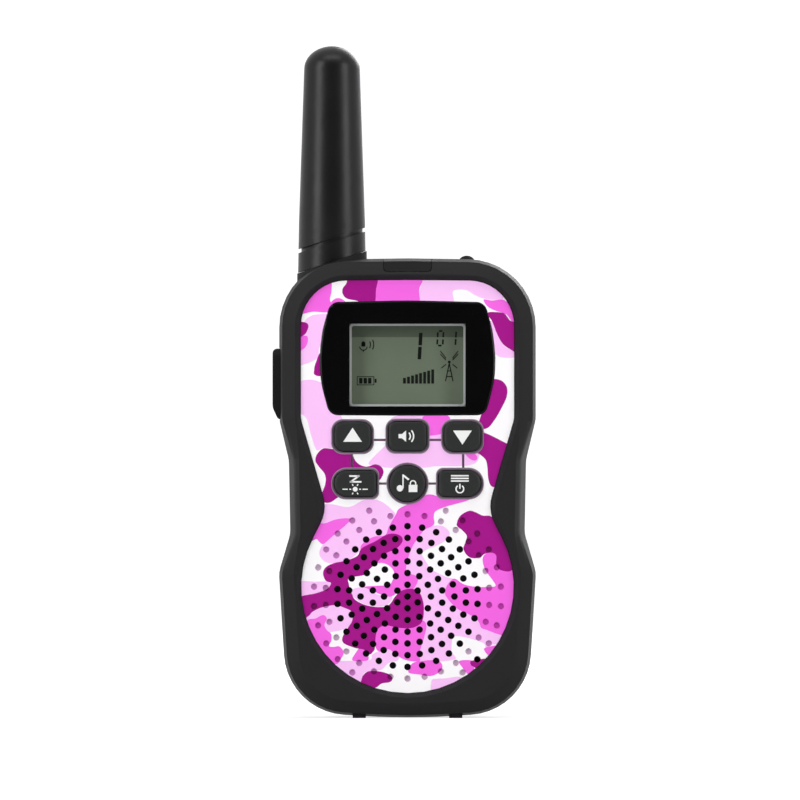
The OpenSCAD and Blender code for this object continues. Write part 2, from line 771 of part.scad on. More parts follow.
module shield_can() color(steel)
    block([-9, board_back, 64], [7, board_back + part_h - 0.2, 80]);
module radio_chip() color([0.08, 0.08, 0.08])
    block([-6, board_back, 83], [0, board_back + 1.1, 89]);
module processor() color([0.08, 0.08, 0.08])
    block([-5, board_back, 48], [5, board_back + 1.4, 58]);
module crystal() color(steel)
    block([9, board_back, 52], [12, board_back + 1.3, 57]);

module lamp_led() color([0.92, 0.93, 0.9]) translate([0, led_y, 0]) {
    translate([0, 0, lamp_low - 6.5]) cylinder(r = led_r + 0.3, h = 0.8);
    translate([0, 0, lamp_low - 5.8]) cylinder(r = led_r, h = 2.6);
    translate([0, 0, lamp_low - 3.2]) sphere(r = led_r);
    for (x = [-1.27, 0.77]) {
        block([x, -0.25, lamp_low - 8], [x + 0.5, 0.25, lamp_low - 6.4]);
        block([x, -0.25, lamp_low - 8], [x + 0.5, board_front - led_y, lamp_low - 7.5]);
    }
}

module lamp_reflector() color(steel) translate([0, led_y, lamp_low - 5.2]) rotate_extrude() polygon([
    [led_r + 0.1, 0], [led_r + 0.6, 0], [cup_r, 4.8], [cup_r, 5.2], [cup_r - 0.4, 5.2]
]);

module speaker_cloth() color([0.05, 0.05, 0.05])
    rod_y(0, sound_z, well_r - fit, seat_y + 0.02, seat_y + 0.32);

module speaker_frame() color([0.5, 0.51, 0.52]) difference() {
    union() {
        rod_y(0, sound_z, speaker_r, speaker_front, speaker_front + 1);
        rod_y(0, sound_z, speaker_r - 2.4, speaker_front, speaker_front + 2.6);
    }
    rod_y(0, sound_z, speaker_r - 1.6, speaker_front - 1, speaker_front + 0.7);
    rod_y(0, sound_z, speaker_r - 3.2, speaker_front - 1, speaker_front + 1.9);
    rod_y(0, sound_z, 7, speaker_front, speaker_front + 5);
}

module speaker_cone() color([0.2, 0.2, 0.2]) translate([0, speaker_front + 0.7, sound_z]) rotate([-90, 0, 0])
    rotate_extrude() polygon([
        [0, -0.4], [2, -0.3], [4, 0.1], [5, 0.5], [12, 0.1], [13, -0.5], [14, -0.5], [speaker_r - 1.7, -0.1],
        [speaker_r - 1.7, 0], [14, -0.3], [13.1, -0.3], [12, 0.4], [5, 0.8], [3.8, 0.5], [2, 0.1], [0, 0]
    ]);

module speaker_magnet() color(steel) union() {
    rod_y(0, sound_z, 7.8, speaker_front + 2.65, speaker_back);
    rod_y(0, sound_z, 4, speaker_front + 1.9, speaker_front + 2.8);
}

module microphone_boot() color([0.09, 0.09, 0.09]) difference() {
    rod_y(mic_x, mic_z, boot_r, inner_y, board_front - 1);
    rod_y(mic_x, mic_z, capsule_r + 0.05, inner_y + 0.8, board_front);
    rod_y(mic_x, mic_z, hole_d / 2, front_y, board_front);
}
module microphone() color(steel)
    rod_y(mic_x, mic_z, capsule_r, inner_y + 0.9, board_front - 1.2);

// an AAA cell; flip turns its nub down
module cell(i, flip) {
    z0 = bay_low + plate_t + 0.1;
    body = cell_len - 1;
    base = flip ? z0 + 1 : z0 + spring_len + 0.1;
    translate([cell_x[i], cell_y, base]) {
        color([0.15, 0.35, 0.2]) cylinder(r = cell_r, h = body);
        color(steel) translate([0, 0, flip ? -1 : body]) cylinder(r = 1.9, h = 1);
    }
}
module battery_cell_1() cell(0, false);
module battery_cell_2() cell(1, true);
module battery_cell_3() cell(2, false);
module battery_cell_4() cell(3, true);

module spring_contacts() color(steel) for (i = [0:3]) {
    low = i % 2 == 0;
    z = low ? bay_low + plate_t : bay_top - plate_t;
    translate([cell_x[i], cell_y, z]) rotate([low ? 0 : 180, 0, 0]) {
        translate([0, 0, 0.35]) coil(3.2, 1.8, spring_len - 0.7, 3, 0.3);
        translate([-contact_half, -contact_half, -plate_t])
            cube([2 * contact_half, 2 * contact_half, plate_t]);
    }
}

module flat_contacts() color(steel) for (i = [0:3]) {
    low = i % 2 == 1;
    z = low ? bay_low : bay_top - plate_t;
    translate([cell_x[i] - contact_half, cell_y - contact_half, z])
        cube([2 * contact_half, 2 * contact_half, plate_t]);
}

module battery_door() color(black) {
    intersection() {
        rear_skin();
        block([-door_half, recess_y + lid_fit, door_low], [door_half, back_y + 1, door_top]);
    }
    for (x = tongues) tongue(x, 0);
    // thumb ribs
    for (i = [0:4]) {
        z = door_low + 5 + i * 1.8;
        block([-8 + i * 0.6, back_y - 0.5, z], [8 - i * 0.6, back_y + 0.4, z + 0.8]);
    }
}

module clip_base() color(black) difference() {
    x = rail_x - 3 - slide_fit;
    union() {
        block([-rail_x + 1.6 + slide_fit, back_y + 0.1, rail_low + 0.05],
            [rail_x - 1.6 - slide_fit, back_y + base_t * 0.85 - lip_y - 0.1, rail_high - 0.5]);
        block([-x, back_y + 0.1, rail_low + 0.05], [x, base_y, rail_high - 0.5]);
        for (side = [0, 1]) mirror([side, 0, 0]) translate([ear_in - ear_t - 0.15, 0, 0]) {
            block([0, back_y + 0.5, pivot_z - 2.4], [ear_t, pivot_y, pivot_z + 2.4]);
            rod_x(pivot_y, pivot_z, 2.4, 0, ear_t);
        }
    }
    rod_x(pivot_y, pivot_z, pin_r + pivot_fit, -20, 20);
}

// side view of the lever: thumb pad, straight arm and a foot that curls in to the housing
module clip_lever() color(black) difference() {
    union() {
        intersection() {
            rotate([90, 0, 90]) translate([0, 0, -clip_w / 2]) linear_extrude(clip_w) polygon(rounded([
                [lever_y + lever_t + 0.6, lever_top, 0.9, 3],
                [lever_y + lever_t, pivot_z + 5, 8, 2],
                [lever_y + lever_t, lever_low + 12.2, 8, 5],
                [back_y + 3.4, lever_low + 4.6, 3, 4],
                [back_y + 5, lever_low + 0.4, 0.8, 3],
                [back_y + 3.2, lever_low - 0.3, 0.8, 3],
                [back_y - 0.05, lever_low + 4.4, 2.2, 5],
                [lever_y, lever_low + 13, 6, 4],
                [lever_y, pivot_z + 5, 8, 2],
                [lever_y + 0.6, lever_top + 0.2, 0.9, 3]
            ]));
            rotate([-90, 0, 0]) mirror([0, 1, 0]) linear_extrude(60) polygon(rounded([
                [clip_w / 2, lever_top + 1, 5, 6], [clip_w / 2, pivot_z - 6, 20, 2],
                [clip_foot_w / 2, lever_low + 16, 20, 2], [clip_foot_w / 2, lever_low - 2, 4, 6],
                [-clip_foot_w / 2, lever_low - 2, 4, 6], [-clip_foot_w / 2, lever_low + 16, 20, 2],
                [-clip_w / 2, pivot_z - 6, 20, 2], [-clip_w / 2, lever_top + 1, 5, 6]
            ]));
        }
        for (side = [0, 1]) mirror([side, 0, 0]) {
            rod_x(pivot_y, pivot_z, knuckle_r, ear_in, ear_in + 1.7);
            block([ear_in, pivot_y, pivot_z - knuckle_r], [ear_in + 1.7, lever_y + 1, pivot_z + knuckle_r]);
        }
    }
    // room for the ears and the spring
    block([-ear_in, back_y, pivot_z - 2.8], [ear_in, pivot_y + 2.75, pivot_z + 2.8]);
    rod_x(pivot_y, pivot_z, pin_r + pivot_fit, -20, 20);
}

module clip_pin() color(steel)
    rod_x(pivot_y, pivot_z, pin_r, -ear_in - 1.6, ear_in + 1.6);

module clip_spring() color(steel) {
    translate([-spring_half, pivot_y, pivot_z]) rotate([0, 90, 0])
        coil(1.7, 1.7, 2 * spring_half, 4, 0.35, 12);
    translate([-spring_half - 0.75, base_y + 0.4, pivot_z - 6]) cylinder(r = 0.35, h = 7);
}

module housing_screws() color(steel) for (s = screws) {
    difference() {
        rod_y(s[0], s[1], head_r, head_y, head_y + head_t);
        for (a = [0, 90]) translate([s[0], 0, s[1]]) rotate([0, a, 0])
            block([-1.2, head_y + head_t - 0.7, -0.25], [1.2, head_y + head_t + 1, 0.25]);
    }
    rod_y(s[0], s[1], screw_r, screw_tip, head_y);
}

module board_screws() color(steel) for (s = board_screw_at) {
    rod_y(s[0], s[1], 1.7, board_back, board_back + 1.1);
    rod_y(s[0], s[1], 0.8, board_front - 2.5, board_back);
}

front_housing();
rear_housing();
face_panel();
display_window();
lamp_lens();
lcd_frame();
lcd_glass();
backlight_plate();
connector_strip();
up_key();
monitor_key();
down_key();
lamp_key();
call_key();
menu_key();
key_mat();
talk_button();
talk_switch();
antenna_sleeve();
antenna_core();
antenna_coil();
antenna_nut();
antenna_contact();
jack_cover();
headset_jack();
main_board();
shield_can();
radio_chip();
processor();
crystal();
lamp_led();
lamp_reflector();
speaker_cloth();
speaker_frame();
speaker_cone();
speaker_magnet();
microphone();
microphone_boot();
battery_cell_1();
battery_cell_2();
battery_cell_3();
battery_cell_4();
spring_contacts();
flat_contacts();
battery_door();
clip_base();
clip_lever();
clip_pin();
clip_spring();
housing_screws();
board_screws();
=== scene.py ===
"""A toy walkie talkie with a camouflage face panel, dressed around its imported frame, in metres."""
import math

import bpy
import numpy as np
from mathutils import Matrix, Vector
from mathutils.bvhtree import BVHTree
from mathutils.geometry import delaunay_2d_cdt


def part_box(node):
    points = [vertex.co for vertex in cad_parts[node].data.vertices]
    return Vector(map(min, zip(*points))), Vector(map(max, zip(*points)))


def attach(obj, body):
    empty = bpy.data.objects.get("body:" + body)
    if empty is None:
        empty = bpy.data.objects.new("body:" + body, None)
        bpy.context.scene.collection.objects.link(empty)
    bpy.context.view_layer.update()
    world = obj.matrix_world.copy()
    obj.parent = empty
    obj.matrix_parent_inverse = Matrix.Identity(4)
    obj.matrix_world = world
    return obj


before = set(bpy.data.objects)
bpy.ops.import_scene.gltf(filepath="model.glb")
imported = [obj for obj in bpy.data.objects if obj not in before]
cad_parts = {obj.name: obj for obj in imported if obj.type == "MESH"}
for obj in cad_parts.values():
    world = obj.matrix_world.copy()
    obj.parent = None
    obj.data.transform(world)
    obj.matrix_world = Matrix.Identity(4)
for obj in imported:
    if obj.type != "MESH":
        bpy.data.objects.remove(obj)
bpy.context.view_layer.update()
mm = 0.001

# ---------------------------------------------------------------- the stand
# The radio stands on its two feet on a pale table, square to the camera. Tall soft boxes stand at its left
# and right, weaker ones hang above and behind, and a pale backdrop stands well behind.
view_centre = Vector((-1.6 * mm, -13 * mm, 67.8 * mm))
camera_data = bpy.data.cameras.new("camera")
camera_data.sensor_width = 36
camera_data.lens = 634
camera_data.clip_end = 20
camera = bpy.data.objects.new("camera", camera_data)
camera.location = view_centre + Vector((0, -3, 0))
camera.rotation_euler = (math.radians(90), 0, 0)
bpy.context.scene.collection.objects.link(camera)
bpy.context.scene.camera = camera
bpy.context.scene.view_settings.view_transform = "Standard"


def soft_box(name, place, size, power):
    """A rectangular lamp that looks at the middle of the radio."""
    data = bpy.data.lights.new(name, "AREA")
    data.shape = "RECTANGLE"
    data.size = size[0]
    data.size_y = size[1]
    data.energy = power
    lamp = bpy.data.objects.new(name, data)
    lamp.location = place
    lamp.rotation_euler = (Vector((0, 0, 0.07)) - lamp.location).to_track_quat("-Z", "Y").to_euler()
    bpy.context.scene.collection.objects.link(lamp)


soft_box("left_light", Vector((-0.75, -0.55, 0.35)), (0.35, 0.9), 7.2)
soft_box("right_light", Vector((0.8, -0.55, 0.25)), (0.35, 0.9), 6.4)
soft_box("top_light", Vector((0.0, -0.25, 0.85)), (0.7, 0.3), 2.4)
soft_box("back_light", Vector((0.4, 0.9, 0.5)), (0.6, 0.5), 5.0)


def direct_rays(tree):
    """One for what the camera, mirrors and glass see, and nothing for scattered light."""
    rays = tree.nodes.new("ShaderNodeLightPath")
    seen = rays.outputs["Is Camera Ray"]
    for kind in ("Is Glossy Ray", "Is Transmission Ray"):
        either = tree.nodes.new("ShaderNodeMath")
        either.operation = "MAXIMUM"
        tree.links.new(seen, either.inputs[0])
        tree.links.new(rays.outputs[kind], either.inputs[1])
        seen = either.outputs[0]
    return seen


white_from = 0.06
white_to = 0.5


def seen_white(tree, shader, near, far):
    """Adds white to a shader that only direct rays see. It grows with the distance from the radio."""
    glow = tree.nodes.new("ShaderNodeEmission")
    place = tree.nodes.new("ShaderNodeTexCoord")
    away = tree.nodes.new("ShaderNodeVectorMath")
    away.operation = "LENGTH"
    tree.links.new(place.outputs["Object"], away.inputs[0])
    ramp = tree.nodes.new("ShaderNodeMapRange")
    ramp.interpolation_type = "SMOOTHSTEP"
    ramp.inputs["From Min"].default_value = white_from
    ramp.inputs["From Max"].default_value = white_to
    ramp.inputs["To Min"].default_value = near
    ramp.inputs["To Max"].default_value = far
    tree.links.new(away.outputs["Value"], ramp.inputs["Value"])
    tree.links.new(ramp.outputs["Result"], glow.inputs["Strength"])
    both = tree.nodes.new("ShaderNodeAddShader")
    tree.links.new(shader.outputs[0], both.inputs[0])
    tree.links.new(glow.outputs[0], both.inputs[1])
    mix = tree.nodes.new("ShaderNodeMixShader")
    tree.links.new(direct_rays(tree), mix.inputs[0])
    tree.links.new(shader.outputs[0], mix.inputs[1])
    tree.links.new(both.outputs[0], mix.inputs[2])
    return mix


def table_top(name, corners, colour, near):
    """A flat sheet of the stand, with its own colour and a share of white near the radio."""
    mesh = bpy.data.meshes.new(name)
    mesh.from_pydata(corners, [], [(0, 1, 2, 3)])
    sheet = bpy.data.objects.new(name, mesh)
    bpy.context.scene.collection.objects.link(sheet)
    material = bpy.data.materials.new(name)
    material.use_nodes = True
    tree = material.node_tree
    shader = tree.nodes["Principled BSDF"]
    shader.inputs["Base Color"].default_value = colour
    shader.inputs["Roughness"].default_value = 0.9
    mix = seen_white(tree, shader, near, 1)
    tree.links.new(mix.outputs[0], tree.nodes["Material Output"].inputs["Surface"])
    mesh.materials.append(material)


reach = 2.2
front_edge = -0.8
wall = 3.4
pale_grey = (0.5, 0.5, 0.5, 1)
table_top(
    "table",
    [(-reach, front_edge, 0), (reach, front_edge, 0), (reach, wall, 0), (-reach, wall, 0)],
    pale_grey,
    0.7,
)
table_top(
    "backdrop",
    [(-reach, wall, 0), (reach, wall, 0), (reach, wall, reach), (-reach, wall, reach)],
    pale_grey,
    1,
)

# the room is dark in front of the radio, so that its gloss keeps dark, and white elsewhere
world = bpy.data.worlds.new("room")
bpy.context.scene.world = world
world.use_nodes = True
room = world.node_tree
room_light = room.nodes["Background"]
room_light.inputs["Color"].default_value = (1, 1, 1, 1)
compass = room.nodes.new("ShaderNodeTexCoord")
split = room.nodes.new("ShaderNodeSeparateXYZ")
room.links.new(compass.outputs["Generated"], split.inputs[0])
dark_side = room.nodes.new("ShaderNodeMapRange")
dark_side.inputs["From Min"].default_value = -0.95
dark_side.inputs["From Max"].default_value = -0.1
dark_side.inputs["To Min"].default_value = 0.1
dark_side.inputs["To Max"].default_value = 1.0
room.links.new(split.outputs["Y"], dark_side.inputs["Value"])
rays = room.nodes.new("ShaderNodeLightPath")
seen = room.nodes.new("ShaderNodeMath")
seen.operation = "MAXIMUM"
room.links.new(rays.outputs["Is Camera Ray"], seen.inputs[0])
room.links.new(dark_side.outputs["Result"], seen.inputs[1])
level = room.nodes.new("ShaderNodeMix")
level.inputs[2].default_value = 0.16
room.links.new(direct_rays(room), level.inputs[0])
room.links.new(seen.outputs[0], level.inputs[3])
room.links.new(level.outputs[0], room_light.inputs["Strength"])

# ---------------------------------------------------------------- housing
# Two halves and a battery door, injection moulded in black ABS. The mould is spark-eroded, so the skin has
# a fine grain, and the halves meet in a thin seam round the sides.


def ink(r, g, b):
    """A colour from 0 to 255 as it is printed, turned to linear light."""
    linear = [c / 255 / 12.92 if c <= 10 else ((c / 255 + 0.055) / 1.055) ** 2.4 for c in (r, g, b)]
    return (*linear, 1)


def surface(name, colour, roughness, metal=0.0, grain=0.25, relief=0.006, shade=0.1, gleam=0.5):
    """A finish with grain of that size and height in millimetres, and a slow drift in shade and gloss."""
    material = bpy.data.materials.new(name)
    material.use_nodes = True
    tree = material.node_tree
    shader = tree.nodes["Principled BSDF"]
    shader.inputs["Metallic"].default_value = metal
    shader.inputs["Specular IOR Level"].default_value = gleam
    place = tree.nodes.new("ShaderNodeTexCoord")
    drift = tree.nodes.new("ShaderNodeTexNoise")
    drift.inputs["Scale"].default_value = 1 / (9 * mm)
    drift.inputs["Detail"].default_value = 4
    tree.links.new(place.outputs["Object"], drift.inputs["Vector"])
    tint = tree.nodes.new("ShaderNodeMix")
    tint.data_type = "RGBA"
    tint.inputs[6].default_value = tuple(c * (1 - shade) for c in colour[:3]) + (1,)
    tint.inputs[7].default_value = tuple(min(1, c * (1 + shade)) for c in colour[:3]) + (1,)
    tree.links.new(drift.outputs["Fac"], tint.inputs[0])
    tree.links.new(tint.outputs[2], shader.inputs["Base Color"])
    gloss = tree.nodes.new("ShaderNodeMapRange")
    gloss.inputs["To Min"].default_value = max(0.02, roughness - 0.05)
    gloss.inputs["To Max"].default_value = min(1, roughness + 0.05)
    tree.links.new(drift.outputs["Fac"], gloss.inputs["Value"])
    tree.links.new(gloss.outputs["Result"], shader.inputs["Roughness"])
    fine = tree.nodes.new("ShaderNodeTexNoise")
    fine.inputs["Scale"].default_value = 1 / (grain * mm)
    fine.inputs["Detail"].default_value = 2
    tree.links.new(place.outputs["Object"], fine.inputs["Vector"])
    bump = tree.nodes.new("ShaderNodeBump")
    bump.inputs["Strength"].default_value = 0.6
    bump.inputs["Distance"].default_value = relief * mm
    tree.links.new(fine.outputs["Fac"], bump.inputs["Height"])
    tree.links.new(bump.outputs["Normal"], shader.inputs["Normal"])
    return material


crisp_angle = math.radians(28)


def dress(material, *names):
    """Gives CAD nodes a finish. Round stretches shade smoothly, and edges over crisp_angle stay crisp."""
    for name in names:
        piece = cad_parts[name]
        for material_slot in piece.material_slots:
            material_slot.material = material
        piece.data.polygons.foreach_set("use_smooth", [True] * len(piece.data.polygons))
        if "custom_normal" in piece.data.attributes:
            piece.data.attributes.remove(piece.data.attributes["custom_normal"])
        weld = piece.modifiers.new("weld", "WELD")
        weld.merge_threshold = 0.0005 * mm
        crisp = piece.modifiers.new("crisp", "EDGE_SPLIT")
        crisp.split_angle = crisp_angle
        crisp.use_edge_sharp = False
        smooth = piece.modifiers.new("smooth", "WEIGHTED_NORMAL")
        smooth.weight = 100


black_abs = surface("black_abs", ink(35, 35, 36), 0.6, grain=0.22, relief=0.01, shade=0.06, gleam=0.1)
dress(black_abs, "front_housing", "rear_housing", "battery_door")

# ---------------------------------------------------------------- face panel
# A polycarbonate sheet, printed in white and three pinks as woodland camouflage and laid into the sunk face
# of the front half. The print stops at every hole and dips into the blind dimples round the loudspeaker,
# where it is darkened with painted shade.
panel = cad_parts["face_panel"]
panel_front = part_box("face_panel")[0].y / mm
dimple_depth = 0.5
dimple_floor = 0.45
dimple_slope = 0.12
film_lift = 0.03
film_thick = 0.02
hole_limit = 2.0
inks = {
    "white": ink(254, 252, 254),
    "light": ink(252, 197, 250),
    "pink": ink(246, 104, 228),
    "magenta": ink(162, 8, 135),
}
blots = [
    ("light", [(2.6, 89), (2.6, 91.3), (3.4, 93.6), (3.6, 96), (19, 96), (22, 91.5), (20.5, 89.6),
               (19.8, 89.1), (16.4, 89.4), (14.5, 90.1), (12.6, 91.2), (10.5, 91.3), (9.6, 90.7),
               (9.6, 88), (5, 87.5)]),
    ("light", [(17, 84), (18.3, 84.4), (19.2, 82), (21, 79), (24, 78), (24, 76.9), (20.2, 76.9),
               (18.8, 77.5), (16.5, 79)]),
    ("light", [(-24, 84.6), (-22.2, 84.4), (-21.4, 85.2), (-20, 85.9), (-17.6, 86.1), (-15, 86),
               (-16, 79), (-18.6, 79.2), (-19, 77), (-20.2, 76.1), (-22.6, 75.2), (-24, 75.2)]),
    ("light", [(-24, 71.4), (-22.4, 71.9), (-20.5, 72.1), (-18.6, 71.6), (-16, 70), (-14, 64), (-12, 61),
               (-12.5, 58.8), (-15.5, 57.6), (-18, 57.6), (-19.4, 57.2), (-20.6, 60.5), (-21.6, 64),
               (-24, 66)]),
    ("light", [(-8.3, 54.2), (-6.7, 56.2), (-4.6, 58.4), (-4, 61), (-3, 64.2), (4, 64.4), (8.6, 62),
               (15.3, 61), (15.2, 55.6), (13, 53.9), (6, 53.7), (3.4, 53.4), (-4, 53.4), (-6, 53.8)]),
    ("light", [(-20, 45), (-16.5, 45.6), (-12.5, 45), (-9.3, 46.5), (-6.9, 46.6), (-5, 45.8),
               (-3.3, 44.4), (-2.6, 43.2), (-3.8, 40.8), (-4.8, 38.9), (-7.4, 38.4), (-9.5, 37),
               (-10.5, 35.3), (-13, 33.5), (-15.5, 33), (-17.6, 33.4), (-18.8, 35), (-18.2, 36.8),
               (-17.2, 38), (-20, 41)]),
    ("light", [(1, 36.4), (2.1, 38.2), (3.6, 40.1), (5.6, 41), (7.6, 40.9), (9, 39.5), (8.2, 38),
               (5.8, 36.6), (4, 35.9), (3.1, 35), (3.8, 33.6), (5.2, 31.7), (8, 30.2), (10.5, 29),
               (12, 24), (16, 20.5), (22, 18.6), (22, 16), (18.1, 15.7), (16.9, 14.8), (16.3, 15.9),
               (15, 16.5), (12.6, 17.2), (10.3, 17.5), (9.5, 16.6), (9.4, 14.2), (9.9, 12.5),
               (2.6, 12.3), (0, 16), (0, 27), (-1, 31), (-0.2, 33.6)]),
    ("light", [(-24, 28.9), (-19.3, 29.1), (-16.8, 29.1), (-15.5, 28.5), (-16, 26), (-24, 25)]),
    ("light", [(-22, 21.5), (-20.2, 22.8), (-18.3, 23.7), (-15.5, 24.2), (-13.6, 23.7), (-11.4, 22.6),
               (-11.4, 20.8), (-12.6, 19.4), (-14.5, 18.7), (-16.5, 18.3), (-18.5, 17), (-22, 18)]),
    ("light", [(-16.5, 12), (-14.5, 12.2), (-8.2, 12.4), (-7.5, 13.6), (-6, 14.3), (-4, 14.7),
               (-2, 13.3), (-2.2, 12.3), (-4, 11.8), (-5.5, 10.4), (-7.4, 10), (-9.3, 9.6), (-10.4, 7),
               (-14, 8)]),
    ("light", [(5.2, 5), (5.1, 7.9), (6, 8.4), (8, 8.5), (11.2, 8.8), (12, 7), (8, 5)]),
    ("pink", [(-24, 86.6), (-20, 86.6), (-17, 86.5), (-15.5, 87.5), (-16.5, 89), (-16.2, 90.9),
              (-16.2, 93.5), (-17, 96), (-24, 94)]),
    ("pink", [(-16.3, 88.3), (-15.7, 89.2), (-14.6, 89.5), (-13.5, 89), (-13, 88.2), (-14.6, 87.4)]),
    ("pink", [(-7.5, 87.5), (-7, 89), (-6.7, 91.3), (-6.4, 93.5), (-6.2, 96), (3.4, 96), (3.3, 93.4),
              (2.5, 91.3), (2.5, 88), (0, 87)]),
    ("pink", [(16.2, 89.2), (18, 89), (20.2, 89.2), (21.4, 88.6), (24, 88), (24, 84), (22.8, 84),
              (21.9, 84.9), (21.2, 85.9), (20.2, 86.4), (18.8, 86.8), (17.1, 87.7)]),
    ("pink", [(-24, 81.3), (-22.1, 81.5), (-21.3, 81.3), (-21.3, 80), (-22.1, 78.7), (-24, 78)]),
    ("pink", [(12.4, 57.8), (13.8, 56.9), (14.9, 55.6), (14.4, 54.9), (13.2, 55.3), (12.2, 56.6)]),
    ("pink", [(3.4, 60.6), (3.5, 64.5), (8.6, 64.5), (9, 61.5), (6.5, 60.4)]),
    ("pink", [(-2.6, 43.2), (-1.7, 44.7), (1.7, 46.3), (4.5, 47.7), (7.4, 47), (10, 47.1), (13.2, 47),
              (12.6, 46.3), (8.3, 45.1), (6, 44.1), (5.6, 42.9), (5.6, 41.2), (3.6, 40.1), (2.1, 38.2),
              (1, 36.4), (0, 33.6), (-0.2, 31.2), (1.7, 30.4), (2.2, 29.2), (0.7, 27.2), (-3, 27),
              (-8, 30), (-9, 34), (-10, 36.6), (-7.4, 38.6), (-4.8, 39), (-4, 40.8)]),
    ("pink", [(-20.5, 38), (-19.4, 38.2), (-18.8, 37.6), (-17.9, 37.1), (-16.4, 38.4), (-14.8, 39.8),
              (-13.1, 41.2), (-12.1, 42.4), (-13.5, 42.6), (-15.5, 42.3), (-17.9, 41.5), (-20.5, 41.8)]),
    ("pink", [(9.3, 29.4), (10.2, 29.7), (12.1, 28.5), (15, 28), (18.6, 28.1), (18.2, 29.3),
              (17.4, 30.4), (16.4, 31.9), (16, 34.1), (16.9, 35.2), (18.1, 35.4), (19.2, 35.6), (24, 34),
              (24, 17), (20, 17.7), (16.9, 18.8), (15.7, 19.3), (15.2, 20.5), (14.3, 21.4), (12.6, 22.4),
              (10.8, 23.2), (9, 24.9), (8, 26.5), (8.3, 28.1)]),
    ("pink", [(-6.9, 15.5), (-6.7, 17.9), (-6, 20), (-2, 21), (2.6, 21), (4, 20), (3.6, 17.4),
              (2.5, 13.8), (2.6, 12.2), (0, 12.3), (-2, 13.2), (-4, 14.7), (-6, 14.2)]),
    ("pink", [(-21.5, 20.2), (-19.5, 21.3), (-18, 22), (-17.2, 21.3), (-17.7, 19.9), (-17.2, 18.8),
              (-16.3, 18), (-16.2, 16.6), (-16.7, 15.4), (-15.7, 15.2), (-14.5, 15.3), (-13.6, 14),
              (-14.3, 12.5), (-15.4, 11.5), (-19, 13)]),
    ("pink", [(-11.7, 12.3), (-11, 14), (-10, 15.1), (-8.9, 14.3), (-8.4, 12.4)]),
    ("pink", [(0.2, 9.8), (1, 11.7), (3.6, 12.3), (6.4, 12.3), (7.4, 11.3), (7, 10), (5, 9),
              (2.6, 9.3)]),
    ("pink", [(16.3, 14.8), (17.5, 15.3), (19, 15.3), (18, 13), (16.9, 13.7)]),
    ("pink", [(11, 12.2), (13.8, 12.3), (14.2, 11), (14, 9), (12.6, 9.6), (11.7, 10.8)]),
    ("magenta", [(-12.9, 96), (-12.9, 93), (-13.8, 91.6), (-13.8, 90.4), (-12.9, 89.4), (-10.7, 88.9),
                 (-8, 88), (-6.9, 88.8), (-6.7, 91.3), (-6.3, 93.3), (-6.2, 96)]),
    ("magenta", [(17, 86.4), (20.2, 86.4), (21.2, 85.6), (21.9, 84.7), (24, 83.4), (24, 78),
                 (21.7, 78.7), (20.2, 79.9), (19, 82), (18.1, 84.4)]),
    ("magenta", [(16.5, 72.3), (18.6, 72.3), (20.2, 71.8), (21.2, 70.4), (21.1, 68.4), (20, 66),
                 (18.6, 63.6), (17, 61.8), (15, 62), (16, 66)]),
    ("magenta", [(-24, 84.3), (-21.7, 84.3), (-21.1, 83.6), (-21.4, 82.5), (-22.1, 81.6), (-24, 81)]),
    ("magenta", [(-18.5, 77.8), (-19.6, 75.6), (-19.9, 74.2), (-19.8, 73.2), (-18.3, 73), (-17, 75)]),
    ("magenta", [(-19.6, 54.8), (-19.3, 56.2), (-17.9, 57.5), (-15.5, 57.4), (-13.6, 58.3),
                 (-12.1, 57.8), (-11.7, 56.2), (-10.7, 54.4), (-8.8, 53.6), (-6.9, 54.1), (-5.6, 53.6),
                 (-5.1, 52.4), (-5.7, 51), (-6.9, 50), (-10, 48), (-14.2, 47.3), (-16.4, 46),
                 (-17.9, 46.1), (-18.3, 47.6), (-17.5, 50), (-17.6, 51.9), (-18.8, 53.5)]),
    ("magenta", [(14, 63), (15.5, 61.3), (17.9, 60.2), (21, 58.6), (24, 57), (22, 52), (19.2, 49.6),
                 (17.9, 49.4), (17.2, 51), (17, 53.6), (16.6, 55.1), (15.4, 56.2), (13.8, 57.1),
                 (13.2, 58.4), (14, 60)]),
    ("magenta", [(-1.2, 37.4), (-1.2, 38.6), (-2.6, 39.3), (-4.5, 39.1), (-6.9, 37.7), (-9.8, 36.2),
                 (-10.7, 34.6), (-13.1, 33.6), (-15.5, 33.1), (-17.4, 32.2), (-18, 30.8), (-17.4, 29.3),
                 (-16.3, 28.8), (-17.1, 27.6), (-19.3, 26.7), (-24, 25.2), (-24, 20), (-21.2, 21.7),
                 (-20.2, 22.7), (-18.3, 23.6), (-15.5, 24.1), (-13.6, 23.6), (-11.8, 22.6),
                 (-11.8, 20.8), (-12.6, 19.4), (-13.8, 17.4), (-13.6, 16), (-11.2, 15), (-9.3, 14.6),
                 (-8.1, 13.6), (-7.1, 14.5), (-6.9, 15.5), (-6.7, 17.9), (-6, 19.3), (-4.5, 19.8),
                 (-2.1, 19.3), (0.7, 19.2), (2.6, 20), (3.3, 21.2), (3.5, 23.1), (3.3, 25), (2.4, 27),
                 (0.7, 27.6), (-1.2, 27.2), (-2.6, 26), (-4, 24.1), (-6, 23.7), (-8.8, 24.1),
                 (-11.2, 25.3), (-11.9, 27), (-12.5, 28.6), (-12.4, 29.8), (-9.3, 30.5), (-8.3, 31.5),
                 (-6.9, 32.7), (-4.8, 35), (-2.6, 36)]),
    ("magenta", [(10.5, 41.5), (11.2, 43.1), (13.1, 44.2), (14.5, 43.9), (16, 43.2), (17.6, 43.1),
                 (18.8, 42), (19.2, 40.3), (20, 38.9), (21.4, 36.5), (23, 33.6), (22, 31.4),
                 (19.8, 31.6), (18.9, 32.7), (18.9, 34.6), (17.9, 35.3), (16.4, 35), (15.5, 34.3),
